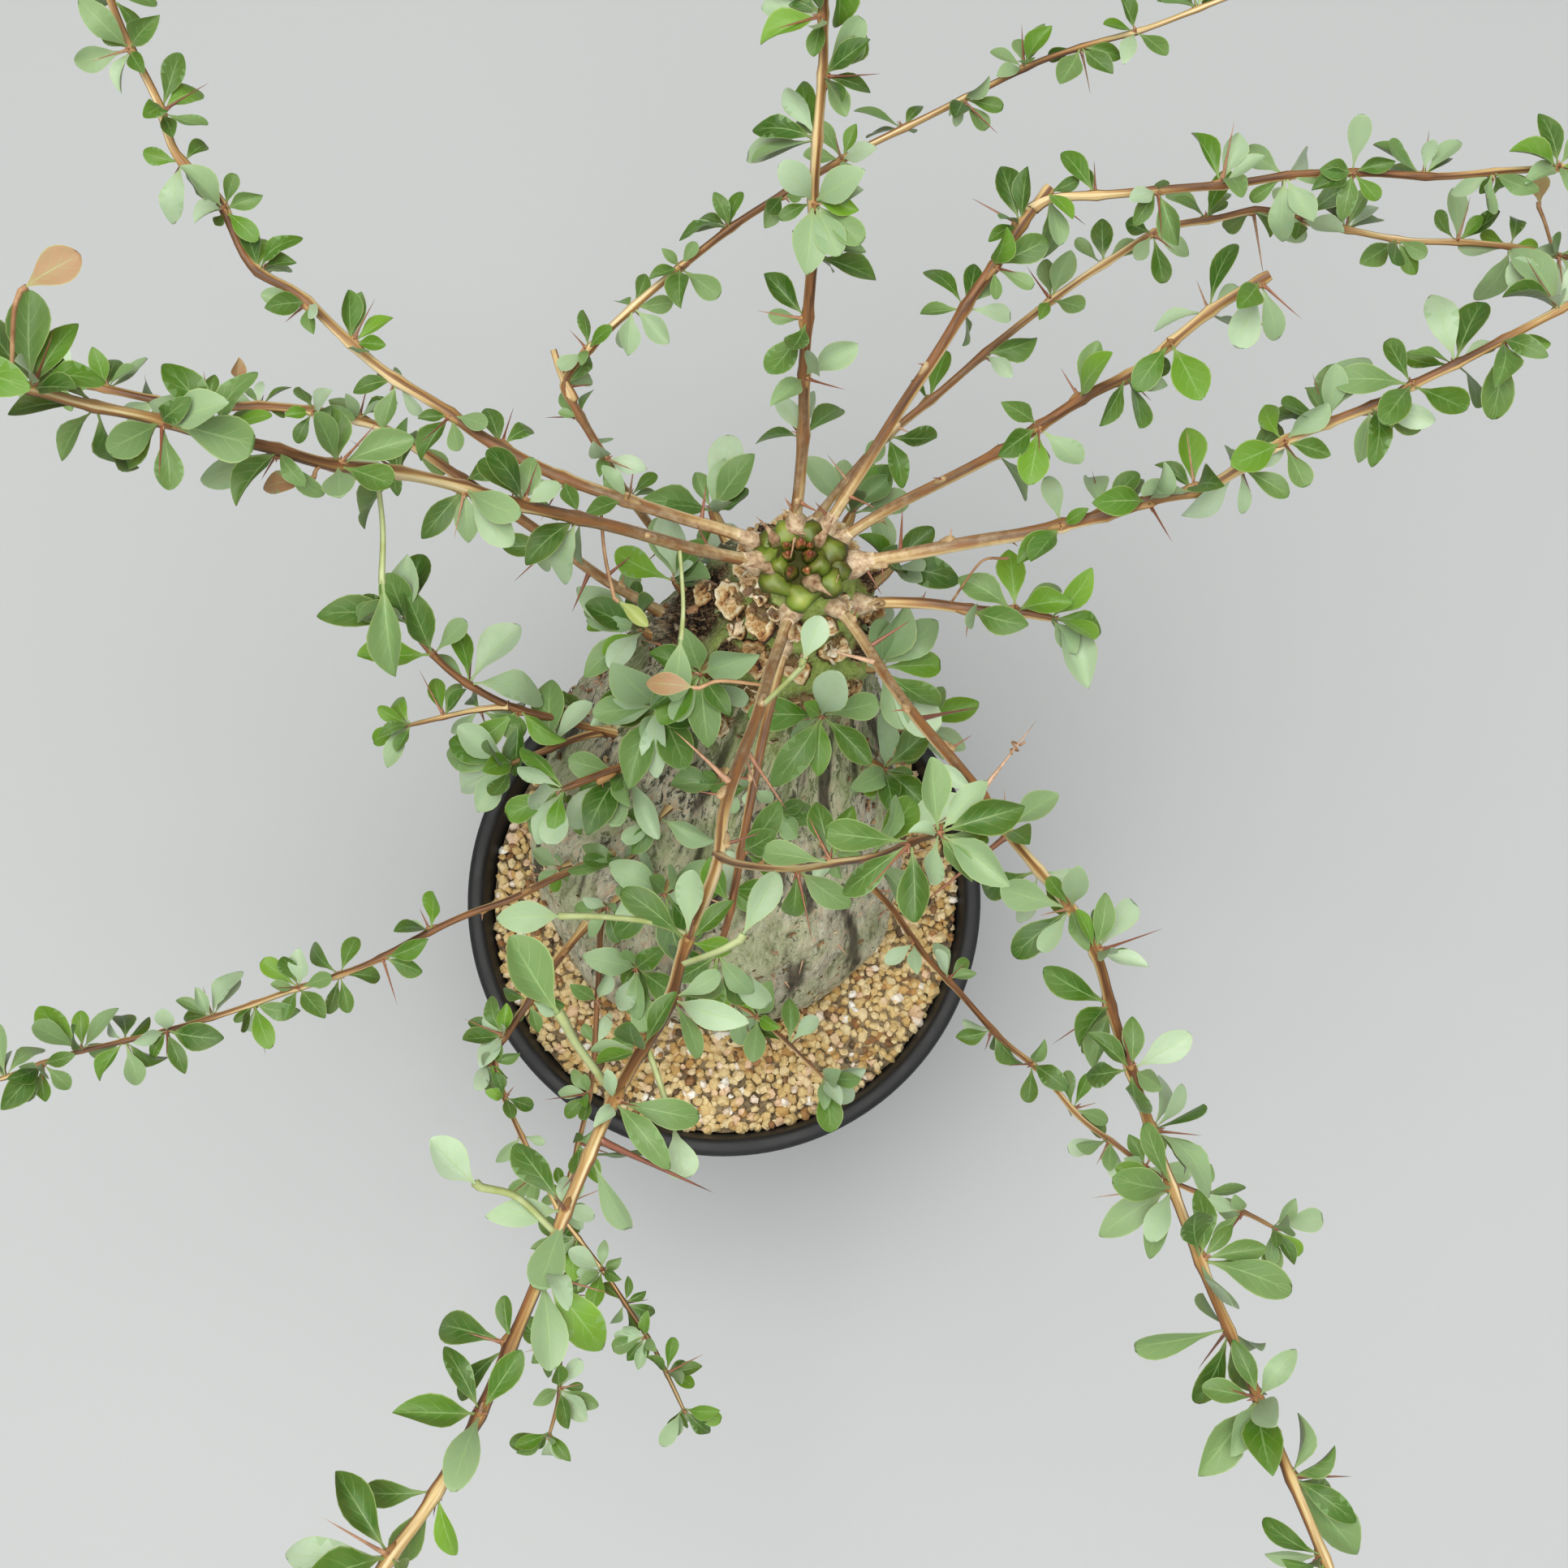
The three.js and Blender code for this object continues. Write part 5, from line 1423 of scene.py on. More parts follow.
def barkMaterial():
    material, tree = newMaterial("caudexBark", Roughness=0.82, Specular_IOR_Level=0.25)
    fleshy, scar = attribute(tree, "fleshy"), attribute(tree, "scar")
    creaseShade, crack = attribute(tree, "creaseShade"), attribute(tree, "crack")
    ridge = attribute(tree, "ridge")
    place = attribute(tree, "skinPlace", "Vector")
    long = grain(tree, 0.2, 9, 0.76, (1, 1, 0.32), place, 0.9)
    fibre = grain(tree, 1.2, 5, 0.72, (1, 1, 0.13), place, 0.6)
    fine = grain(tree, 900, 5, 0.7)
    wide = grain(tree, 0.055, 4, 0.6, (1, 1, 0.7), place)
    scales = grain(tree, 0.42, 5, 0.75, (1, 1, 0.4), place, 1.4)
    # The troughs between the bark ridges are painted a little darker, as painted shade
    value = plus(tree, long, spread(tree, ridge, -2.0, 2.0, -0.05, 0.04))
    value = plus(tree, value, spread(tree, fibre, 0.3, 0.7, -0.06, 0.06))
    colour = ramp(tree, value, [
        (0.28, (0.055, 0.044, 0.027)), (0.36, (0.20, 0.185, 0.12)), (0.43, (0.47, 0.455, 0.30)),
        (0.51, (0.71, 0.695, 0.49)), (0.63, (0.86, 0.835, 0.61)), (0.78, (0.94, 0.90, 0.74)),
    ])
    lilac = times(tree, spread(tree, wide, 0.5, 0.68), 0.35)
    colour = blend(tree, lilac, colour, (0.60, 0.53, 0.47))
    flake = times(tree, spread(tree, scales, 0.54, 0.58), spread(tree, wide, 0.36, 0.52))
    colour = blend(tree, times(tree, flake, 0.8), colour, (0.76, 0.56, 0.37))
    # Dark crevice patches, more of them higher up the caudex: painted shade for crevices that the mesh does
    # not have
    height = addNode(tree, "ShaderNodeSeparateXYZ", {
        0: addNode(tree, "ShaderNodeTexCoord").outputs["Object"]}).outputs[2]
    deep = calc(tree, "SUBTRACT", scales, spread(tree, height, 0.2, 0.29, 0.0, 0.09))
    creviceShade = times(tree, spread(tree, deep, 0.43, 0.38), 0.9)
    colour = blend(tree, creviceShade, colour, (0.04, 0.03, 0.018))
    moss = spread(tree, wide, 0.54, 0.38, 0.0, 0.65)
    moss = times(tree, moss, spread(tree, height, 0.16, 0.24, 0.35, 1.0))
    colour = blend(tree, moss, colour, (0.43, 0.52, 0.20))
    # The cracks are painted near black: painted shade inside the clefts
    colour = blend(tree, times(tree, crack, 0.85), colour, (0.05, 0.04, 0.025))
    skin = ramp(tree, plus(tree, fine, times(tree, wide, 0.4)), [
        (0.48, (0.26, 0.36, 0.045)), (0.58, (0.46, 0.64, 0.11)), (0.75, (0.62, 0.78, 0.21)),
        (0.92, (0.76, 0.80, 0.40)),
    ])
    colour = blend(tree, fleshy, colour, skin)
    crumple = grain(tree, 420, 6, 0.72, distort=1.8)
    cork = ramp(tree, crumple, [
        (0.33, (0.06, 0.03, 0.012)), (0.41, (0.24, 0.12, 0.04)), (0.49, (0.44, 0.27, 0.10)),
        (0.58, (0.60, 0.44, 0.22)), (0.72, (0.76, 0.66, 0.44)),
    ])
    colour = blend(tree, scar, colour, cork)
    chunks = grain(tree, 300, 6, 0.75, distort=2.4)
    burnt = ramp(tree, chunks, [
        (0.40, (0.008, 0.006, 0.004)), (0.48, (0.035, 0.022, 0.012)), (0.535, (0.19, 0.10, 0.045)),
        (0.61, (0.42, 0.30, 0.17)), (0.74, (0.66, 0.56, 0.40)),
    ])
    colour = blend(tree, attribute(tree, "char"), colour, burnt)
    # Painted shade in the creases round the scars and between the crown knobs
    colour = blend(tree, times(tree, creaseShade, 0.42), colour, (0.07, 0.04, 0.016))
    shine = times(tree, fleshy, calc(tree, "SUBTRACT", 1.0, scar))
    relief = plus(tree, plus(tree, long, fibre), times(tree, scales, 1.5))
    relief = plus(tree, relief, times(tree, times(tree, crumple, scar), 2.0))
    return finished(material, colour, relief, 1.0, 0.0013, spread(tree, shine, 0.0, 1.0, 0.86, 0.4))


# Crown knob: a bud with a red-brown tip, a green lobe, or an old woody thorn
def crownKnob(name, form):
    rings, sides = 8, 12
    vertices, marks = [(0, 0, -0.3)], [0.0]
    for r in range(1, rings):
        f = r / rings
        wide = math.sin(math.pi * f ** form["shoulder"]) ** form["blunt"]
        if form.get("thorn"):
            wide = 1.05 * (1 - f) ** 1.45 + 0.07 * (1 - f * 0.7)
        for k in range(sides):
            turn = k * math.tau / sides
            facet = 0.1 * math.cos(3 * turn + form["turn"]) + 0.05 * math.cos(5 * turn - f * 2)
            facet = 1 + facet * form.get("facet", 1)
            lean = form["lean"] * f**2.2
            x, y = wide * facet * math.cos(turn) / 2, wide * facet * math.sin(turn) / 2
            vertices.append((x + lean, y, f * 1.3 - 0.3))
            marks.append(f)
    vertices.append((form["lean"], 0, 1 - form["dip"]))
    marks.append(1.0)
    return dropBody(name, vertices, sides, marks)


def branchCollar(name, seed):
    # A drop along x with a round head, and an eye sunk in its upper side
    rings, sides = 14, 18
    vertices, marks = [(-0.31, 0, 0)], [0.0]
    for r in range(1, rings):
        f = r / (rings - 1)
        x = -0.3 + f
        wide = 0.5 * min(1.0, math.sin(min(f / 0.32, 1) * math.pi / 2)) ** 0.55
        wide *= 1 - 0.46 * float(smoothStep(f, 0.3, 0.95))
        for k in range(sides):
            turn = k * math.tau / sides
            uneven = 1 + 0.05 * math.cos(2 * turn + seed * 2) + 0.03 * math.cos(5 * turn + seed + f * 6)
            y, z = wide * uneven * math.sin(turn), wide * uneven * math.cos(turn)
            eye = math.hypot((x + 0.1) / 0.15, y / 0.26) if z > 0 else 9
            z += 0.05 * math.exp(-((eye - 1.15) / 0.3) ** 2) - 0.13 * max(0, 1 - eye * eye)
            vertices.append((x, y, z))
            marks.append(max(0.0, 1.25 - eye) / 1.25)
    vertices.append((0.72, 0, 0))
    marks.append(0.0)
    return dropBody(name, vertices, sides, marks, flipped=True)


def collarMaterial():
    material, tree = newMaterial("branchCollar", Roughness=0.5)
    eye = attribute(tree, "reach")
    cloud = grain(tree, 480, 5, 0.65)
    colour = ramp(tree, cloud, [
        (0.34, (0.25, 0.15, 0.08)), (0.46, (0.42, 0.29, 0.17)), (0.58, (0.54, 0.42, 0.27)),
        (0.74, (0.64, 0.54, 0.38)),
    ])
    ringed = ramp(tree, plus(tree, eye, spread(tree, cloud, 0.3, 0.7, -0.1, 0.1)), [
        (0.12, (0.62, 0.50, 0.35)), (0.3, (0.24, 0.08, 0.045)), (0.55, (0.38, 0.17, 0.10)),
        (0.9, (0.50, 0.34, 0.23)),
    ])
    colour = blend(tree, spread(tree, eye, 0.06, 0.2), colour, ringed)
    return finished(material, colour, cloud, 0.4, 0.0005)


# Old leaf and branch scar: a torn lip round a crumpled corky floor
def corkScar(name, seed):
    rings, sides = 11, 22
    vertices, marks = [(0, 0, 0.0)], [0.5]
    for r in range(1, rings + 1):
        f = r / rings
        for k in range(sides):
            turn = k * math.tau / sides
            edge = 1 + 0.14 * math.sin(2 * turn + seed) + 0.1 * math.sin(5 * turn + seed * 2)
            edge += 0.06 * math.sin(9 * turn + seed * 3)
            x, y = f * edge * math.cos(turn), f * edge * math.sin(turn)
            spot = Vector((x * 1.7 + seed * 7, y * 1.7, seed))
            crumple = noise.ridged_multi_fractal(spot, 0.9, 2.1, 3, 1.0, 2.0) - 1.1
            torn = 0.5 + 1.1 * noise.noise(Vector((2.2 * math.cos(turn), 2.2 * math.sin(turn), seed * 3)))
            lip = 0.42 * torn * math.exp(-((f - 0.82) / 0.13) ** 2)
            z = lip + 0.3 * crumple * (1 - f**5) - 0.35 * float(smoothStep(f, 0.86, 1.0))
            vertices.append((x, y, z))
            # The mark follows the height of the floor: the scar's shader paints the hollows dark and the
            # raised lip pale
            marks.append(max(0.0, min(1.0, 0.45 + z * 1.5)))
    vertices.append((0, 0, -0.5))
    marks.append(0.0)
    return dropBody(name, vertices, sides, marks, flipped=True)


def scarMaterial():
    material, tree = newMaterial("corkScar", Roughness=0.75)
    reach, tone = attribute(tree, "reach"), attribute(tree, "tone")
    crumple = grain(tree, 650, 6, 0.7, distort=1.2)
    # Colour follows the height of the crumpled floor: the cream lip and the rust floor are the cork's own
    # colours, and the near black in the deepest hollows is painted shade
    value = plus(tree, reach, spread(tree, crumple, 0.3, 0.7, -0.3, 0.3))
    value = plus(tree, value, spread(tree, tone, 0.0, 1.0, -0.1, 0.08))
    colour = ramp(tree, value, [
        (0.08, (0.030, 0.012, 0.006)), (0.24, (0.19, 0.07, 0.022)), (0.4, (0.40, 0.20, 0.06)),
        (0.56, (0.58, 0.38, 0.16)), (0.76, (0.72, 0.58, 0.34)), (1.05, (0.88, 0.81, 0.62)),
    ])
    return finished(material, colour, crumple, 0.9, 0.0011)


crownForms = [
    {"shoulder": 0.62, "blunt": 0.95, "turn": 0, "lean": 0.1, "dip": 0},
    {"shoulder": 0.9, "blunt": 0.62, "turn": 1, "lean": 0.2, "dip": 0.06, "facet": 2.0},
    {"shoulder": 1.0, "blunt": 1.0, "turn": 2, "lean": 1.1, "dip": 0, "thorn": True},
]


def crownMaterial():
    material, tree = newMaterial("crownFlesh", Roughness=0.36, Specular_IOR_Level=0.3)
    reach, kind = attribute(tree, "reach"), attribute(tree, "kind")
    cloud = grain(tree, 420, 4, 0.6)
    soft = grain(tree, 120, 2, 0.4)
    # The skin is painted darker toward each knob's foot, as painted shade where the knobs crowd together, and
    # lighter toward its top, as painted light
    skin = ramp(tree, plus(tree, soft, spread(tree, reach, 0.3, 0.98, -0.28, 0.06)), [
        (0.26, (0.022, 0.024, 0.003)), (0.4, (0.045, 0.074, 0.005)), (0.56, (0.088, 0.150, 0.011)),
        (0.74, (0.185, 0.265, 0.032)), (0.88, (0.33, 0.40, 0.085)),
    ])
    husk = ramp(tree, cloud, [
        (0.34, (0.045, 0.010, 0.006)), (0.46, (0.15, 0.035, 0.018)), (0.58, (0.33, 0.11, 0.045)),
        (0.72, (0.55, 0.33, 0.15)),
    ])
    wood = ramp(tree, cloud, [
        (0.32, (0.14, 0.065, 0.035)), (0.46, (0.34, 0.21, 0.12)), (0.6, (0.50, 0.37, 0.23)),
        (0.78, (0.62, 0.51, 0.35)),
    ])
    bud = calc(tree, "SUBTRACT", 1.0, spread(tree, kind, 0.2, 0.6))
    old = spread(tree, kind, 1.4, 1.8)
    tip = spread(tree, plus(tree, reach, spread(tree, cloud, 0.3, 0.7, -0.15, 0.15)), 0.58, 0.82)
    colour = blend(tree, times(tree, tip, calc(tree, "MAXIMUM", bud, 0.12)), skin, husk)
    base = spread(tree, reach, 0.3, 0.45)
    colour = blend(tree, times(tree, old, base), colour, wood)
    tipped = times(tree, old, spread(tree, reach, 0.8, 1.0, 0.0, 0.8))
    colour = blend(tree, tipped, colour, (0.16, 0.06, 0.03))
    height = times(tree, cloud, spread(tree, kind, 0.6, 1.6, 0.4, 1.0))
    return finished(material, colour, height, 0.3, 0.0004)


# Curled flakes of dead bark on the scars, and lying flat on the caudex
flakeLook = {
    "onScar": 3, "onBark": 280, "stubs": 150, "size": (1.1, 3.0), "thick": 0.09, "curl": 0.45,
    "flakeHeights": (140, 285), "stubHeights": (165, 285),
}


def barkFlake(name, seed):
    columns, rows = 5, 4
    vertices = []
    for layer in (1, -1):
        for j in range(rows):
            for i in range(columns):
                u, v = i / (columns - 1) * 2 - 1, j / (rows - 1) * 2 - 1
                torn = 1 - 0.45 * chance(seed, i, j) * (abs(v) + abs(u) > 1.2)
                rise = flakeLook["curl"] * (u * u - 0.25) + 0.2 * math.sin(v * 2.5 + seed)
                rise += 0.12 * math.sin(5 * u + seed) * v
                vertices.append((u * torn, v * 0.7 * torn, rise + layer * flakeLook["thick"] / 2))
    faces, half = [], columns * rows
    for j in range(rows - 1):
        for i in range(columns - 1):
            a = j * columns + i
            quad = (a, a + 1, a + columns + 1, a + columns)
            faces.append(quad)
            faces.append(tuple(k + half for k in reversed(quad)))
    rim = list(range(columns)) + [columns * (j + 1) - 1 for j in range(1, rows)]
    rim += list(range(half - 2, half - columns - 1, -1)) + [columns * j for j in range(rows - 2, 0, -1)]
    for k, a in enumerate(rim):
        b = rim[(k + 1) % len(rim)]
        faces.append((b, a, a + half, b + half))
    return meshObject(name, vertices, faces)


def strewn(name, build, forms, places, tree, material, extra):
    # One of the shapes, made for this alone, on every place
    shapes = shapeSet(name + "Shape", build, forms)
    body = scattered(name, places, tree, shapes, material, extra)
    discard(shapes)
    return body


def flakePlaces(grid, normals):
    # grid holds the points of the finished bark, ring by ring
    look = flakeLook
    spots = []
    for number, (degrees, height, radius) in enumerate(neckScars + woodyKnobs):
        for k in range(look["onScar"]):
            turn, away = k * goldenAngle + number, radius * math.sqrt((k + 0.5) / look["onScar"])
            wide = math.degrees(away * math.cos(turn) / trunkAt(height)[3])
            spots.append((degrees + wide, height + away * math.sin(turn) * 0.8, 0.55, number * 20 + k))
    for k in range(look["onBark"]):
        level = mix(*look["flakeHeights"], chance(k, 1, 95))
        spots.append((360 * chance(k, 2, 95), level, 0.12, 900 + k))
    places = []
    for degrees, height, tilt, seed in spots:
        i, j = cellAt(grid, degrees, height)
        if i < 2 or i > len(grid) - 3:
            continue
        out, onScar = normals[i, j], tilt > 0.3
        wander = np.array([chance(seed, n, 96) - 0.5 for n in range(3)])
        size = mix(*look["size"], chance(seed, 4, 96)) * (1 if onScar else 0.9)
        along = unit(np.cross(out, (0, 0, 1)) + wander * 2) if onScar else np.array((0, 0, 1.0))
        places.append({
            "at": grid[i, j] + out * (0.5 if onScar else 0.1), "z": out + wander * tilt * 2.2,
            "x": along + wander * 0.2, "stretch": (size * (1 if onScar else 1.5), size * 0.8, size * 0.7),
            "form": seed % 4, "tone": chance(seed, 5, 96),
        })
    return places


def scarPlaces(grid, normals):
    places = []
    for number, (degrees, height, radius) in enumerate(neckScars):
        i, j = cellAt(grid, degrees, height)
        out = unit(normals[i, j] + (0, 0, 0.75))
        wide = radius * (0.95 + 0.3 * chance(number, 3, 97))
        places.append({
            "at": grid[i, j] + (0, 0, radius * 0.1), "z": out,
            "x": np.cross((0.3 * chance(number, 2, 97), 0.1, 1), out),
            "stretch": (radius * 1.15, wide, radius * 0.9),
            "form": number % 4, "tone": chance(number, 4, 97),
        })
    return places


def stubPlaces(grid, normals):
    # Dry stubs of old twigs all over the caudex
    places = []
    for k in range(flakeLook["stubs"]):
        i = cellAt(grid, 0, mix(*flakeLook["stubHeights"], chance(k, 1, 98)))[0]
        j = int(chance(k, 2, 98) * grid.shape[1]) % grid.shape[1]
        wander = np.array([chance(k, n, 99) - 0.5 for n in range(3)])
        places.append(spinePlace(
            grid[i, j] - normals[i, j] * 0.4, unit(normals[i, j] + wander * 2.6),
            2 + 5 * chance(k, 3, 98) ** 2, 0.35 + 0.3 * chance(k, 4, 98),
            chance(k, 5, 98), 0.5 + 0.5 * chance(k, 6, 98)))
    return places


def dressBark(grid, materials, tree):
    normals = gridNormals(grid)
    flakeForms, scarForms = [k * 1.7 for k in range(4)], [k * 1.3 + 0.4 for k in range(4)]
    flakes, scars = flakePlaces(grid, normals), scarPlaces(grid, normals)
    stubs = stubPlaces(grid, normals)
    return [
        strewn("flakes", barkFlake, flakeForms, flakes, tree, materials["flake"], ["tone"]),
        strewn("scars", corkScar, scarForms, scars, tree, materials["scar"], ["tone"]),
        strewn("stubs", spineCone, spineForms, stubs, tree, materials["spine"], ["tone"]),
    ]


def dressCrown(materials, tree):
    # The knobs stand on the neck's top and lean away from its middle
    knobs, spines, collars = [], [], []
    for x, y, width, height, kind in crownKnobs:
        away = math.hypot(x, y)
        foot = np.array(trunkLook["top"]) + (x, y, min(away, 4) * 0.2 - away * away / 20)
        out = unit(np.array((x * 0.075, y * 0.075, 1.0)))
        long, wide, sunk = ((1.3, 1.1, 1.2), (1.25, 1.4, 2.0), (1.15, 1.1, 1.2))[kind]
        outward = np.array((x, y, 0.01)) + np.array((-y, x, 0)) * (0.5 if kind == 2 else 0)
        knobs.append({
            "at": foot - out * sunk, "z": out, "x": outward, "form": kind,
            "stretch": (width * long, width * wide, height), "kind": kind,
        })
    # Each branch starts from a swollen collar with an eye on its upper side
    for number, (place, thick) in enumerate(stemRoots()):
        name, stems = list(plants.items())[number]
        if not name.startswith("branch") or place[2] < trunkLook["collarsAbove"]:
            continue
        away = [np.linalg.norm(pointOn(stems[0]["route"], k / 400) - place) for k in range(60)]
        k = int(np.argmin(away))
        ahead = unit(pointOn(stems[0]["route"], k / 400 + 0.02) - place)
        out = unit(np.array((0, 0, 1.0)) - ahead * ahead[2])
        wide = thick * (2.9 + 0.4 * chance(number, 2, 3))
        collars.append({
            "at": place + ahead * thick * 0.5, "z": out, "x": ahead, "form": number % 3,
            "stretch": (thick * 4.4, wide, wide * 0.96),
        })
        if chance(number, 4, 5) < 0.7:
            side = np.cross(ahead, out) * (chance(number, 7, 7) - 0.5) * 2
            spines.append(spinePlace(
                place + out * thick, out + side + ahead * 0.2, 6 + 7 * chance(number, 8, 8), 0.6, 0.2, 0.95))
    return [
        strewn("collars", branchCollar, range(3), collars, tree, materials["collar"], []),
        strewn("crown", crownKnob, crownForms, knobs, tree, materials["crown"], ["kind"]),
        strewn("thorns", spineCone, spineForms, spines, tree, materials["spine"], ["tone"]),
    ]


potShape = {
    "rim": 90, "height": 150, "lipWidth": 6, "lipDepth": 9, "base": 64, "wall": 2.2,
    "floor": 3, "round": 2.6, "sides": 144,
    "holes": 6, "ring": 42, "hole": 4.5, "holeTurn": 0.07, "pad": 30, "groove": (7, 1.6),
}


def potOutline():
    p = potShape
    lipInner = p["rim"] - p["lipWidth"]
    low = p["base"] - p["wall"]

    def bore(z):
        return low + (lipInner - low) * (z - p["floor"]) / (p["height"] - p["floor"])

    def corner(cx, cz, radius, start, end, count=7):
        turn = np.linspace(math.radians(start), math.radians(end), count)
        return [(cx + radius * math.cos(a), cz + radius * math.sin(a)) for a in turn]

    r, under = p["round"], p["height"] - p["lipDepth"]
    outline = [(0.01, 0), (p["base"] * 0.5, 0)]
    outline += corner(p["base"] - 1.6, 1.6, 1.6, -90, -5)
    neck = bore(under) + p["wall"]
    outline += [(mix(p["base"], neck, k / 12), mix(2, under - 1.5, k / 12)) for k in range(1, 12)]
    outline += [(neck, under - 0.8), (neck + 0.8, under)]
    outline += corner(p["rim"] - 1.4, under + 1.4, 1.4, -90, 0)
    outline += corner(p["rim"] - r, p["height"] - r, r, 0, 90)
    outline += corner(lipInner + 2.2, p["height"] - 2.2, 2.2, 90, 175)
    outline += [(bore(z), z) for z in (144, 138, 120, 80, 30, 6)]
    outline += [(low - 1.5, p["floor"]), (low * 0.5, p["floor"]), (0.01, p["floor"])]
    return outline


def lathe(name, outline, sides):
    vertices = []
    for radius, z in outline:
        for k in range(sides):
            angle = k * math.tau / sides
            vertices.append((radius * math.cos(angle) * mm, radius * math.sin(angle) * mm, z * mm))
    last = (len(outline) - 1) * sides
    faces = ringFaces(len(outline), sides)
    faces.append(tuple(range(sides - 1, -1, -1)))
    faces.append(tuple(range(last, last + sides)))
    body = meshObject(name, vertices, faces)
    smooth(body)
    return body


def cutOut(body, tool):
    # Takes one body out of another for good
    modifier = body.modifiers.new("cut", "BOOLEAN")
    modifier.operation = "DIFFERENCE"
    modifier.solver = "EXACT"
    modifier.object = tool
    bpy.context.view_layer.update()
    mesh = bpy.data.meshes.new_from_object(body.evaluated_get(bpy.context.evaluated_depsgraph_get()))
    body.modifiers.remove(modifier)
    body.data = mesh
    bpy.data.objects.remove(tool)


def drainPot(pot):
    p = potShape
    for k in range(p["holes"]):
        angle = k * math.tau / p["holes"]
        middle = p["ring"] * mm
        bpy.ops.mesh.primitive_cylinder_add(
            vertices=32, radius=p["hole"] * mm, depth=p["floor"] * 4 * mm,
            location=(middle * math.cos(angle), middle * math.sin(angle), 0),
            rotation=(0, 0, p["holeTurn"]))
        cutOut(pot, bpy.context.object)
        run = p["base"] * 1.2 - p["pad"]
        middle = (p["pad"] + run / 2) * mm
        bpy.ops.mesh.primitive_cube_add(
            size=1, rotation=(0, 0, angle),
            location=(middle * math.cos(angle), middle * math.sin(angle), 0),
            scale=(run * mm, p["groove"][0] * mm, p["groove"][1] * 2 * mm))
        cutOut(pot, bpy.context.object)
    pot.data.set_sharp_from_angle(angle=math.radians(38))


def potMaterial():
    material, tree = newMaterial("potPlastic", Roughness=0.42, Specular_IOR_Level=0.35)
    dust = grain(tree, 60, 6, 0.7)
    fine = grain(tree, 1500, 3, 0.6)
    colour = ramp(tree, dust, [
        (0.35, (0.010, 0.010, 0.011)), (0.6, (0.016, 0.016, 0.017)), (0.8, (0.032, 0.030, 0.028)),
    ])
    return finished(material, colour, fine, 0.15, 0.0002, spread(tree, dust, 0.35, 0.7, 0.5, 0.7))


gritLook = {
    "top": 138.4, "outer": 81.0, "inner": 0.6,  # the last is kept from the trunk
    "rings": 12, "around": 120, "uneven": 1.5,
    "spacing": 2.35, "stone": (1.2, 2.2),
    "shapes": 7, "corners": 14,
    # Gap between stones and their size, as shares of the usual, and the lift in metres
    "layers": [(1.0, 1.0, 0.0009), (1.35, 1.45, 0.0002), (2.1, 1.0, 0.0022)],
    "turn": 6.283,
}


def gritBed():
    # A ring of ground between the trunk and the pot's wall, for the stones to lie on
    look = gritLook
    vertices, faces = [], []
    for k in range(look["around"]):
        angle = k * math.tau / look["around"]
        trunk = trunkAt(look["top"])
        reach = trunk[3] * float(barkRelief(angle, look["top"])) + look["inner"]
        inner = np.array((trunk[1] + reach * math.cos(angle), trunk[2] + reach * math.sin(angle)))
        bearing = math.atan2(inner[1], inner[0])
        outer = np.array((math.cos(bearing), math.sin(bearing))) * look["outer"]
        if np.linalg.norm(inner) > look["outer"] - 1:
            inner = unit(inner) * (look["outer"] - 1)
        for r in range(look["rings"]):
            x, y = mix(inner, outer, r / (look["rings"] - 1))
            lump = noise.fractal(Vector((x, y, 5)) * 0.07, 1.0, 2.0, 3)
            lump += 0.9 * float(smoothStep(r / (look["rings"] - 1), 0.6, 1.0))
            vertices.append((x * mm, y * mm, (look["top"] + look["uneven"] * lump) * mm))
    for k in range(look["around"]):
        for r in range(look["rings"] - 1):
            a = k * look["rings"] + r
            b = (k + 1) % look["around"] * look["rings"] + r
            faces.append((a, a + 1, b + 1, b))
    return meshObject("grit_stones", vertices, faces)


def stoneShape(name, seed):
    # The hull of a few corners on a lumpy ball
    shape = bmesh.new()
    for k in range(gritLook["corners"]):
        height = 1 - 2 * (k + 0.5) / gritLook["corners"]
        angle = k * goldenAngle + seed
        flat = math.sqrt(1 - height * height)
        size = 0.8 + 0.4 * chance(seed, k, 90)
        wide = size * flat
        shape.verts.new((wide * math.cos(angle), wide * math.sin(angle) * 0.85, size * height * 0.7))
    bmesh.ops.convex_hull(shape, input=shape.verts)
    mesh = bpy.data.meshes.new(name)
    shape.to_mesh(mesh)
    shape.free()
    body = bpy.data.objects.new(name, mesh)
    bpy.context.collection.objects.link(body)
    return body


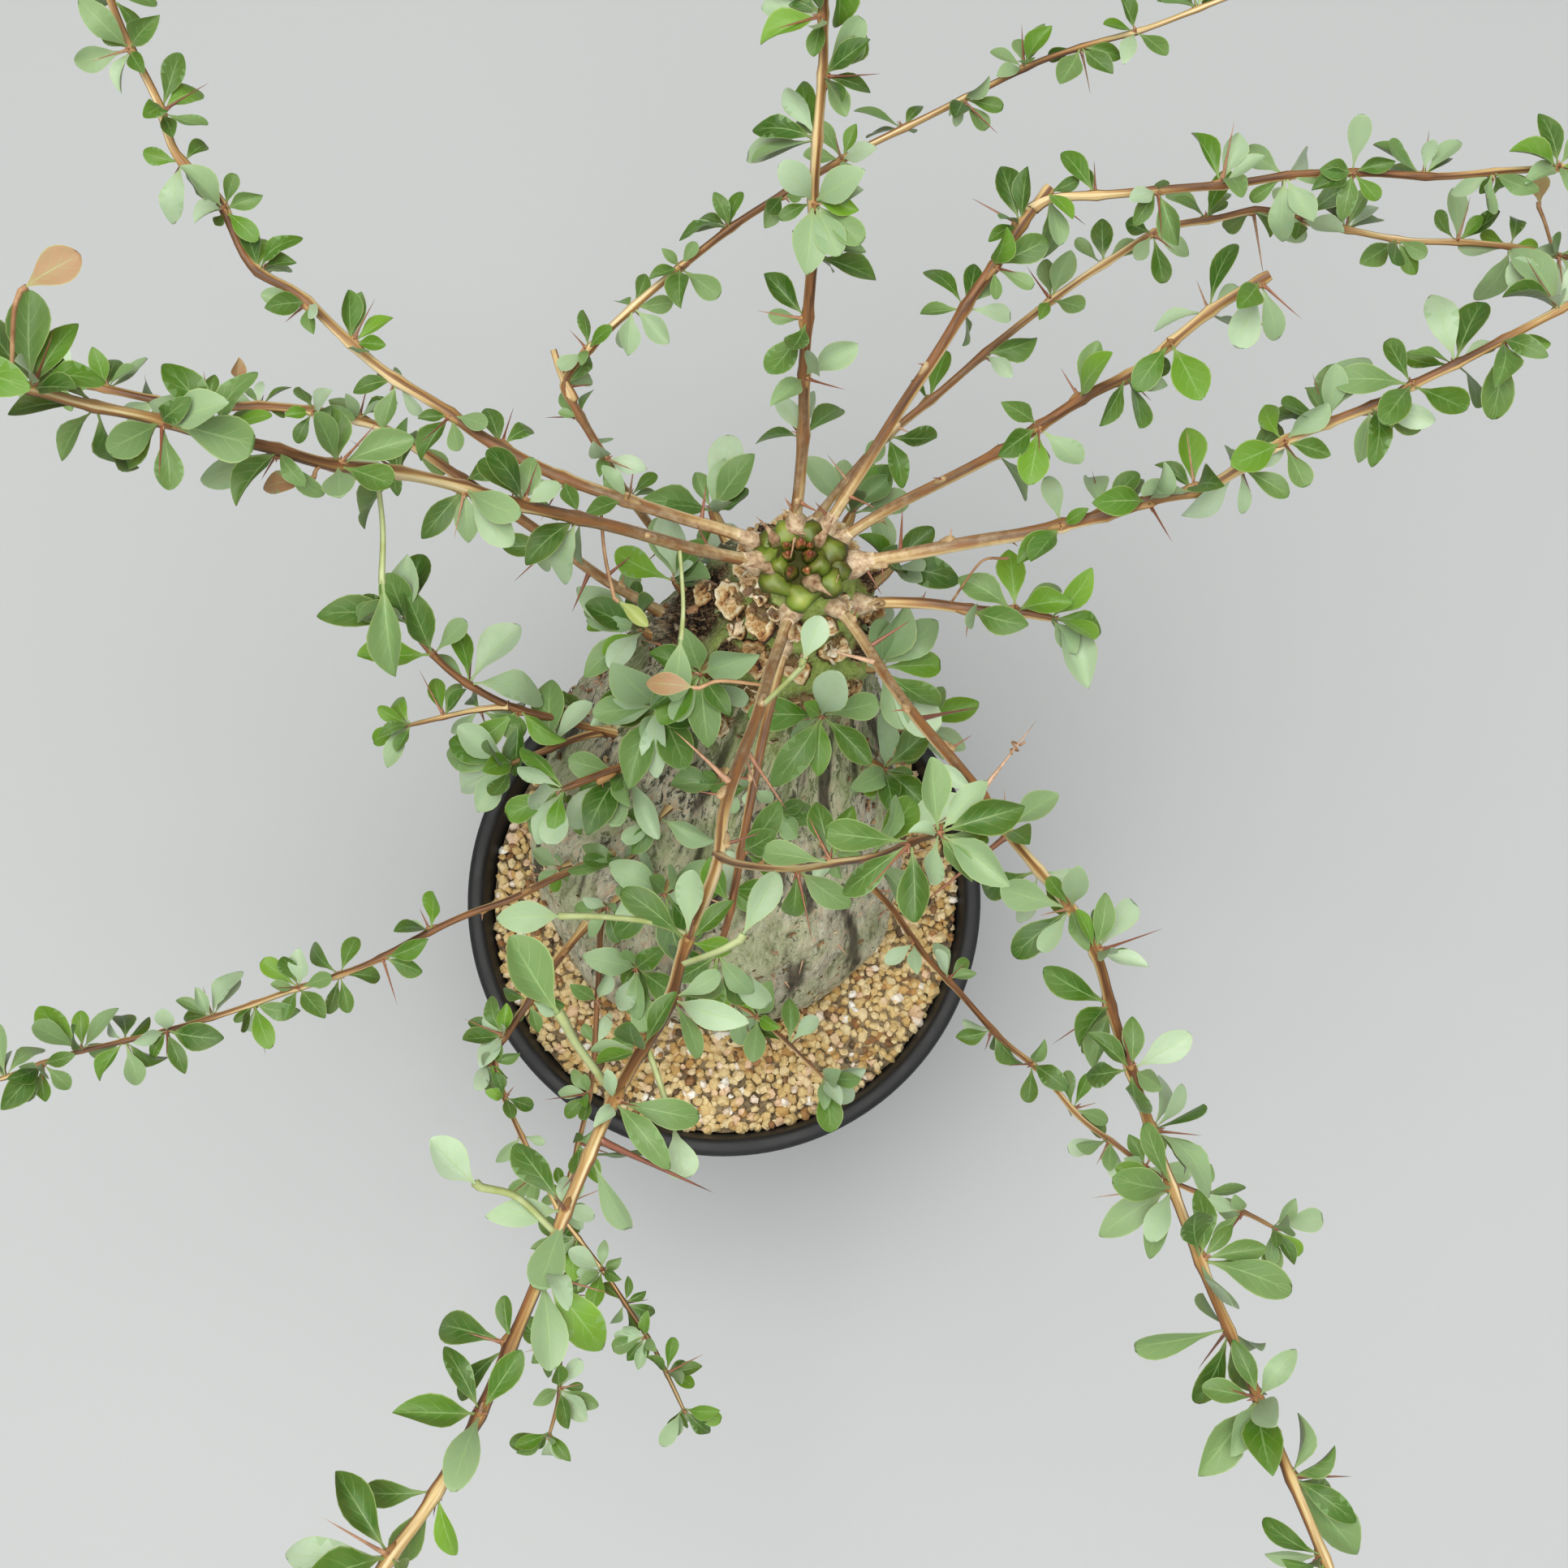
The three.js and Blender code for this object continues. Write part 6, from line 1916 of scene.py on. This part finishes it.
def gritTree():
    # Strews stones over the bed in three layers, each stone turned its own way and toned
    sizes = {
        "Stones": "Collection", "Spacing": "Float", "Smallest": "Float", "Largest": "Float",
        "Material": "Material",
    }
    tree, inputs, out = newGeometryTree("strewGrit", sizes)
    layers = []
    for number, (gap, grow, lift) in enumerate(gritLook["layers"]):
        spacing = times(tree, inputs["Spacing"], gap)
        points = addNode(tree, "GeometryNodeDistributePointsOnFaces", {
            "Mesh": inputs["Geometry"], "Distance Min": spacing, "Density Max": 6e5,
            "Seed": 11 + number,
        }, distribute_method="POISSON")
        rise = addNode(tree, "ShaderNodeCombineXYZ", {2: lift}).outputs[0]
        raised = addNode(tree, "GeometryNodeSetPosition", {"Geometry": points.outputs[0], "Offset": rise})
        turn = addNode(tree, "FunctionNodeRandomValue", {
            1: (gritLook["turn"],) * 3, "Seed": 3 + number,
        }, data_type="FLOAT_VECTOR")
        small = times(tree, inputs["Smallest"], grow)
        large = times(tree, inputs["Largest"], grow)
        size = addNode(tree, "FunctionNodeRandomValue", {2: small, 3: large, "Seed": 21 + number})
        which = addNode(tree, "FunctionNodeRandomValue", {4: 0, 5: 99, "Seed": 31 + number}, data_type="INT")
        stones = addNode(tree, "GeometryNodeCollectionInfo", {
            "Collection": inputs["Stones"], "Separate Children": True, "Reset Children": True,
        })
        placed = addNode(tree, "GeometryNodeInstanceOnPoints", {
            "Points": raised.outputs[0], "Instance": stones.outputs[0], "Pick Instance": True,
            "Instance Index": which.outputs[2],
            "Rotation": addNode(tree, "FunctionNodeEulerToRotation", {0: turn.outputs[0]}).outputs[0],
            "Scale": size.outputs[1],
        })
        shade = addNode(tree, "FunctionNodeRandomValue", {"Seed": 41 + number})
        toned = addNode(tree, "GeometryNodeStoreNamedAttribute", {
            "Geometry": placed.outputs[0], "Name": "tone", "Value": shade.outputs[1],
        }, domain="INSTANCE")
        layers.append(toned.outputs[0])
    together = addNode(tree, "GeometryNodeJoinGeometry")
    for layer in layers:
        tree.links.new(layer, together.inputs[0])
    return endTree(tree, inputs, out, together.outputs[0])


def bedMaterial():
    material, tree = newMaterial("gritDust", Roughness=0.95)
    speck = grain(tree, 600, 5, 0.7)
    colour = ramp(tree, speck, [
        (0.35, (0.10, 0.075, 0.04)), (0.6, (0.30, 0.22, 0.12)), (0.75, (0.50, 0.38, 0.21)),
    ])
    return finished(material, colour, speck, 0.8, 0.001)


def addFloor():
    half = studio["floorSide"] / 2 * mm
    corners = [(-half, -half, 0), (half, -half, 0), (half, half, 0), (-half, half, 0)]
    floor = meshObject("floor", corners, [(0, 1, 2, 3)])
    material, tree = newMaterial("floor", Roughness=0.9)
    shade = grain(tree, 0.8, 2, 0.4)
    darker = tuple(c * 0.985 for c in studio["floorColour"])
    colour = ramp(tree, shade, [(0.3, darker), (0.7, studio["floorColour"])])
    tree.links.new(colour, tree.nodes["Principled BSDF"].inputs["Base Color"])
    floor.data.materials.append(material)


# Leaves on long stalks, with the stalk's points, the blade's tip and width, and the stalk's thickness
stalkedTraits = ("plant", "stalk", "tip", "width", "thick", "tone", "form")
longLeaves = [dict(zip(stalkedTraits, row)) for row in (
    ("branch_front", [(14.9, 20.1, 370), (24.8, 27.9, 379), (25.4, 29, 380)],
     (30, 40, 385), 7, 0.7, 0.08, 0),
    ("branch_left_high", [(-6, 65, 361), (-4.9, 50, 361), (-5.3, 42, 359)],
     (-8.2, 25, 352.5), 7.5, 0.55, 0.25, 1),
    ("branch_front", [(16.4, 27.2, 364), (5, 27.5, 368), (-0.5, 25.6, 368)],
     (-14.1, 28, 367), 6, 0.5, 0.98, 1),
    ("branch_back_left", [(-27.5, 82, 353), (-25.9, 65, 355), (-23.3, 53, 353)],
     (-14, 46, 353), 4, 0.45, 0.92, 2),
    ("branch_front", [(-1.7, -49.9, 430), (6.9, -47.6, 438), (11.6, -45.4, 440)],
     (19.5, -31.5, 445), 6.5, 0.75, 0.12, 0),
    ("branch_front", [(-13.7, -79, 450), (-20.5, -69.3, 462), (-23.2, -64, 468)],
     (-34, -49.2, 476), 9.5, 0.85, 0.4, 2),
    ("branch_front", [(0.3, -42.9, 425), (-8.4, -40.6, 431), (-19, -40, 436), (-26, -40.2, 438.5)],
     (-40, -40.3, 442.5), 7, 0.65, 0.16, 1),
    ("branch_front", [(-8, -67.5, 442.5), (-4.6, -76.8, 444.5), (-2.2, -84, 445.5)],
     (0.6, -95.5, 447.5), 7, 0.65, 0.1, 4),
    ("branch_front", [(-24, -106, 466), (-31, -99, 471), (-37.8, -97, 475)],
     (-47, -88.5, 483), 7, 0.7, 0.02, 2),
    ("branch_left_high", [(-70, 60, 437), (-68.2, 46.9, 437), (-68.4, 36, 435)],
     (-67.2, 14.5, 428.5), 8, 0.6, 0.35, 5),
    ("branch_left_high", [(-128, 56.5, 503), (-125.1, 66, 512), (-123.4, 70, 514)],
     (-112, 76.6, 516), 7.5, 0.5, 0.97, 0),
    ("branch_left_high", [(-79.4, 58, 448.4), (-80.6, 55.8, 450), (-80.8, 54, 450.6)],
     (-91.5, 51.6, 452.5), 5, 0.45, 0.98, 7),
    ("branch_left_low", [(-128, 110, 342), (-125, 111, 350), (-124, 112, 354)],
     (-122, 116, 360), 4, 0.4, 0.99, 5),
    ("branch_back_right_low", [(222, 144, 368), (219, 149, 372), (217, 152, 374)],
     (216, 160, 378), 7, 0.5, 0.96, 3),
)]


# Long spines that stand out in the photo: plant, share of its first stem, tip, thickness, tone
longSpines = [
    ("branch_front_right", 0.345, (53.7, -30.8, 372.2), 0.55, 0.5),
    ("branch_front_right", 0.288, (83.1, 14.9, 381.2), 0.5, 0.95),
    ("branch_front", 0.625, (6.7, -98.4, 449.6), 0.6, 0.3),
    ("branch_front_right", 0.195, (73.4, 26.2, 346.0), 0.55, 0.2),
    ("branch_front", 0.271, (-4.6, 8.7, 400.9), 0.6, 0.85),
    ("branch_front", 0.231, (22.2, -8.1, 378.9), 0.5, 0.75),
    ("branch_back_left", 0.107, (0.3, 85.5, 348.1), 0.5, 0.5),
    ("branch_left_low", 0.145, (-39.9, 63.6, 297.3), 0.55, 0.35),
    ("branch_left_low", 0.130, (-22.5, 79.3, 302.3), 0.5, 0.35),
    ("branch_front_right", 0.116, (54.3, 48.2, 348.9), 0.5, 0.5),
    ("branch_front_right", 0.133, (31.6, 39.9, 350.8), 0.6, 0.95),
    ("branch_back", 0.107, (21.0, 80.7, 352.7), 0.5, 0.8),
    ("branch_back", 0.136, (30.6, 74.9, 355.1), 0.55, 0.6),
    ("branch_back_right", 0.191, (45.4, 78.5, 352.0), 0.5, 0.6),
    ("branch_back_right", 0.133, (29.2, 81.6, 345.7), 0.45, 0.4),
    ("branch_right", 0.077, (47.6, 58.4, 338.0), 0.5, 0.35),
    ("branch_right", 0.118, (52.4, 78.9, 350.0), 0.45, 0.4),
]


def woundThread(plant, share, tip, along):
    # Points of a dry thread wound round a long spine
    root = pointOn(plants[plant][0]["route"], share)
    ahead = unit(np.array(tip) - root)
    side = unit(np.cross(ahead, (0, 0, 1)))
    up, middle = np.cross(side, ahead), mix(root, np.array(tip), along)
    points = []
    for k in range(13):
        turn, reach = k * 0.95, 0.25 + 0.12 * k
        points.append(middle + ahead * (k - 6) * 0.25 + (side * math.cos(turn) + up * math.sin(turn)) * reach)
    return points


dryThreads = [
    {"plant": "branch_right_short", "thick": 0.33, "tone": 1, "tip": (84, 68.6, 337.5),
     "stalk": [(66, 57.5, 328.5), (71.9, 64.7, 338), (75.2, 67.6, 339), (80, 68.1, 338)]},
    {"plant": "branch_front_right", "thick": 0.24, "tone": 1, "tip": (84, 13, 379),
     "stalk": woundThread("branch_front_right", 0.288, (83.1, 14.9, 381.2), 0.6), "steps": 40},
]


def stalkLine(item):
    rows, run = [], 0.0
    steps = item.get("steps", 10)
    points = [pointOn(item["stalk"], j / steps) for j in range(steps + 1)]
    end = unit(np.array(item["tip"]) - points[-1])
    points.append(points[-1] + end * 1.5)
    for j, point in enumerate(points):
        run += float(np.linalg.norm(point - points[j - 1])) if j else 0
        rows.append((point, item["thick"] * (1 + 0.3 * (j / steps) ** 3), float(item["tone"] > 0.9), run))
    return rows


def longBlade(item):
    root = np.array(item["stalk"][-1], float)
    line = np.array(item["tip"], float) - root
    length = float(np.linalg.norm(line))
    face = np.array((0.15, -0.1, 1.0))
    return {
        "at": root, "x": line, "z": face, "stretch": (length, item["width"] / 0.98, length),
        "form": item["form"], "tone": item["tone"],
    }


def tuftSpines(tuft):
    # The tuft's own spine, and the dry bud scales round its foot
    key, i = tuft["key"], tuft["i"]
    places = []
    if tuft["spine"]:
        root, along, length = [tuft["spine"][part] for part in ("root", "along", "length")]
        places.append(spinePlace(
            root, along, length + tuft["radius"], foliage["spineThick"],
            chance(key, i, 65), 0.2 + 0.7 * chance(key, i, 64)))
    for k in range(3):
        lean = tuft["out"] + unit(np.cross(tuft["out"], tuft["forward"])) * (k - 1) * 0.8
        places.append(spinePlace(
            tuft["centre"] + tuft["out"] * tuft["radius"] * 0.7, lean, 1.6 + chance(key, i, 66 + k),
            0.5, 0.1, 0.3 + 0.6 * chance(key, k, 69)))
    return places


def longSpinePlaces(name, route):
    places = []
    for plant, share, tip, thick, tone in longSpines:
        if plant == name:
            root = pointOn(route, share)
            line = np.array(tip) - root
            length = float(np.linalg.norm(line))
            places.append(spinePlace(root, line, length, thick * 1.5, share * 10 % 1, tone))
    return places


def dressPlants(materials, trees):
    leafSet = shapeSet("leafShape", leafBlade, leafForms)
    spineSet = shapeSet("spineShape", spineCone, spineForms)
    knobSet = shapeSet("knobShape", knobTooth, knobForms)
    tufts = growLeaves()
    print("leaves placed:", sum(len(t["leaves"]) for t in tufts), "on", len(tufts), "tufts")
    for owner, (name, stems) in enumerate([*plants.items(), ("sprouts", sproutStems)]):
        wood = foliage["wood"].get(name.split("_")[0], foliage["woodUsual"])
        slim = foliage["slim"] * foliage["slimmer"].get(name, 1)
        leafSlim = foliage["leafSlim"].get(name, 1)
        lines, knobs, spines, leaves = [], [], [], []
        for number, stem in enumerate(stems):
            own = [t for t in tufts if t["plant"] == name and t["key"] == stemKey(owner, number)]
            start = wood * (1 if number == 0 else 0.6)
            lines.append(stemLine(stem, start, own, stems[:number] if name != "sprouts" else [], slim))
            bareKnobs, bareSpines = bareNodes(stem, owner, number, start)
            knobs += bareKnobs
            spines += bareSpines
            for t in own:
                if not t["atTip"]:
                    knobs.append(knobPlace(t, start * (1 - 0.85 * t["share"])))
                leaves += [leafPlace(leaf, leafSlim) for leaf in t["leaves"]]
                spines += tuftSpines(t)
        spines += longSpinePlaces(name, stems[0]["route"])
        longOnes = [item for item in longLeaves + dryThreads if item["plant"] == name]
        leaves += [longBlade(item) for item in longOnes if "width" in item]
        parts = [swept(name + "_stem", lines, trees["stem"], materials["stem"])]
        if longOnes:
            stalks = [stalkLine(item) for item in longOnes]
            parts.append(swept(name + "_stalks", stalks, trees["stem"], materials["stalk"], 6))
        for kind, places, shapes, finish, extra in (
            ("leaves", leaves, leafSet, "leaf", "tone"), ("spines", spines, spineSet, "spine", "tone"),
            ("knobs", knobs, knobSet, "stem", "age"),
        ):
            if places:
                parts.append(scattered(
                    f"{name}_{kind}", places, trees["scatter"], shapes, materials[finish], [extra]))
        piece = joined("grown_" + name, parts)
        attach(piece, "root")
        if name in plants:
            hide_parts(name)
    for group in (leafSet, spineSet, knobSet):
        discard(group)


def dressGround(materials, trees):
    grid, skin = buildTrunk(materials["bark"])
    trunk = joined("trunk_bark", [skin])
    fineParts = dressBark(grid, materials, trees["scatter"]) + dressCrown(materials, trees["scatter"])
    crown = joined("trunk_crown", fineParts)
    for piece in (trunk, crown):
        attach(piece, "root")
        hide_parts("trunk")
        print(piece.name, "faces:", len(piece.data.polygons))
    pot = lathe("pot_moulded", potOutline(), potShape["sides"])
    drainPot(pot)
    pot.data.materials.clear()
    pot.data.materials.append(materials["pot"])
    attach(pot, "root")
    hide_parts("pot")
    stoneSet = shapeSet("stoneShape", stoneShape, range(1, gritLook["shapes"] + 1))
    stones = settled(gritBed(), trees["grit"], {
        "Stones": stoneSet, "Spacing": gritLook["spacing"] * mm, "Smallest": gritLook["stone"][0] * mm,
        "Largest": gritLook["stone"][1] * mm, "Material": materials["stone"],
    })
    discard(stoneSet)
    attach(stones, "root")
    print("grit faces:", len(stones.data.polygons))
    bed = frame["nodes"]["grit"]
    bed.data.materials.clear()
    bed.data.materials.append(materials["bed"])


addCamera()
addLight()
addFloor()
materials = {
    "leaf": leafMaterial(), "stem": stemMaterial(), "stalk": stalkMaterial(), "bark": barkMaterial(),
    "pot": potMaterial(), "bed": bedMaterial(), "crown": crownMaterial(), "scar": scarMaterial(),
    "collar": collarMaterial(), **{key: tonedMaterial(look) for key, look in tonedFinishes.items()},
}
trees = {"scatter": scatterTree(), "stem": stemTree(), "grit": gritTree()}
print("materials and trees made")
dressGround(materials, trees)
dressPlants(materials, trees)
bpy.context.view_layer.update()
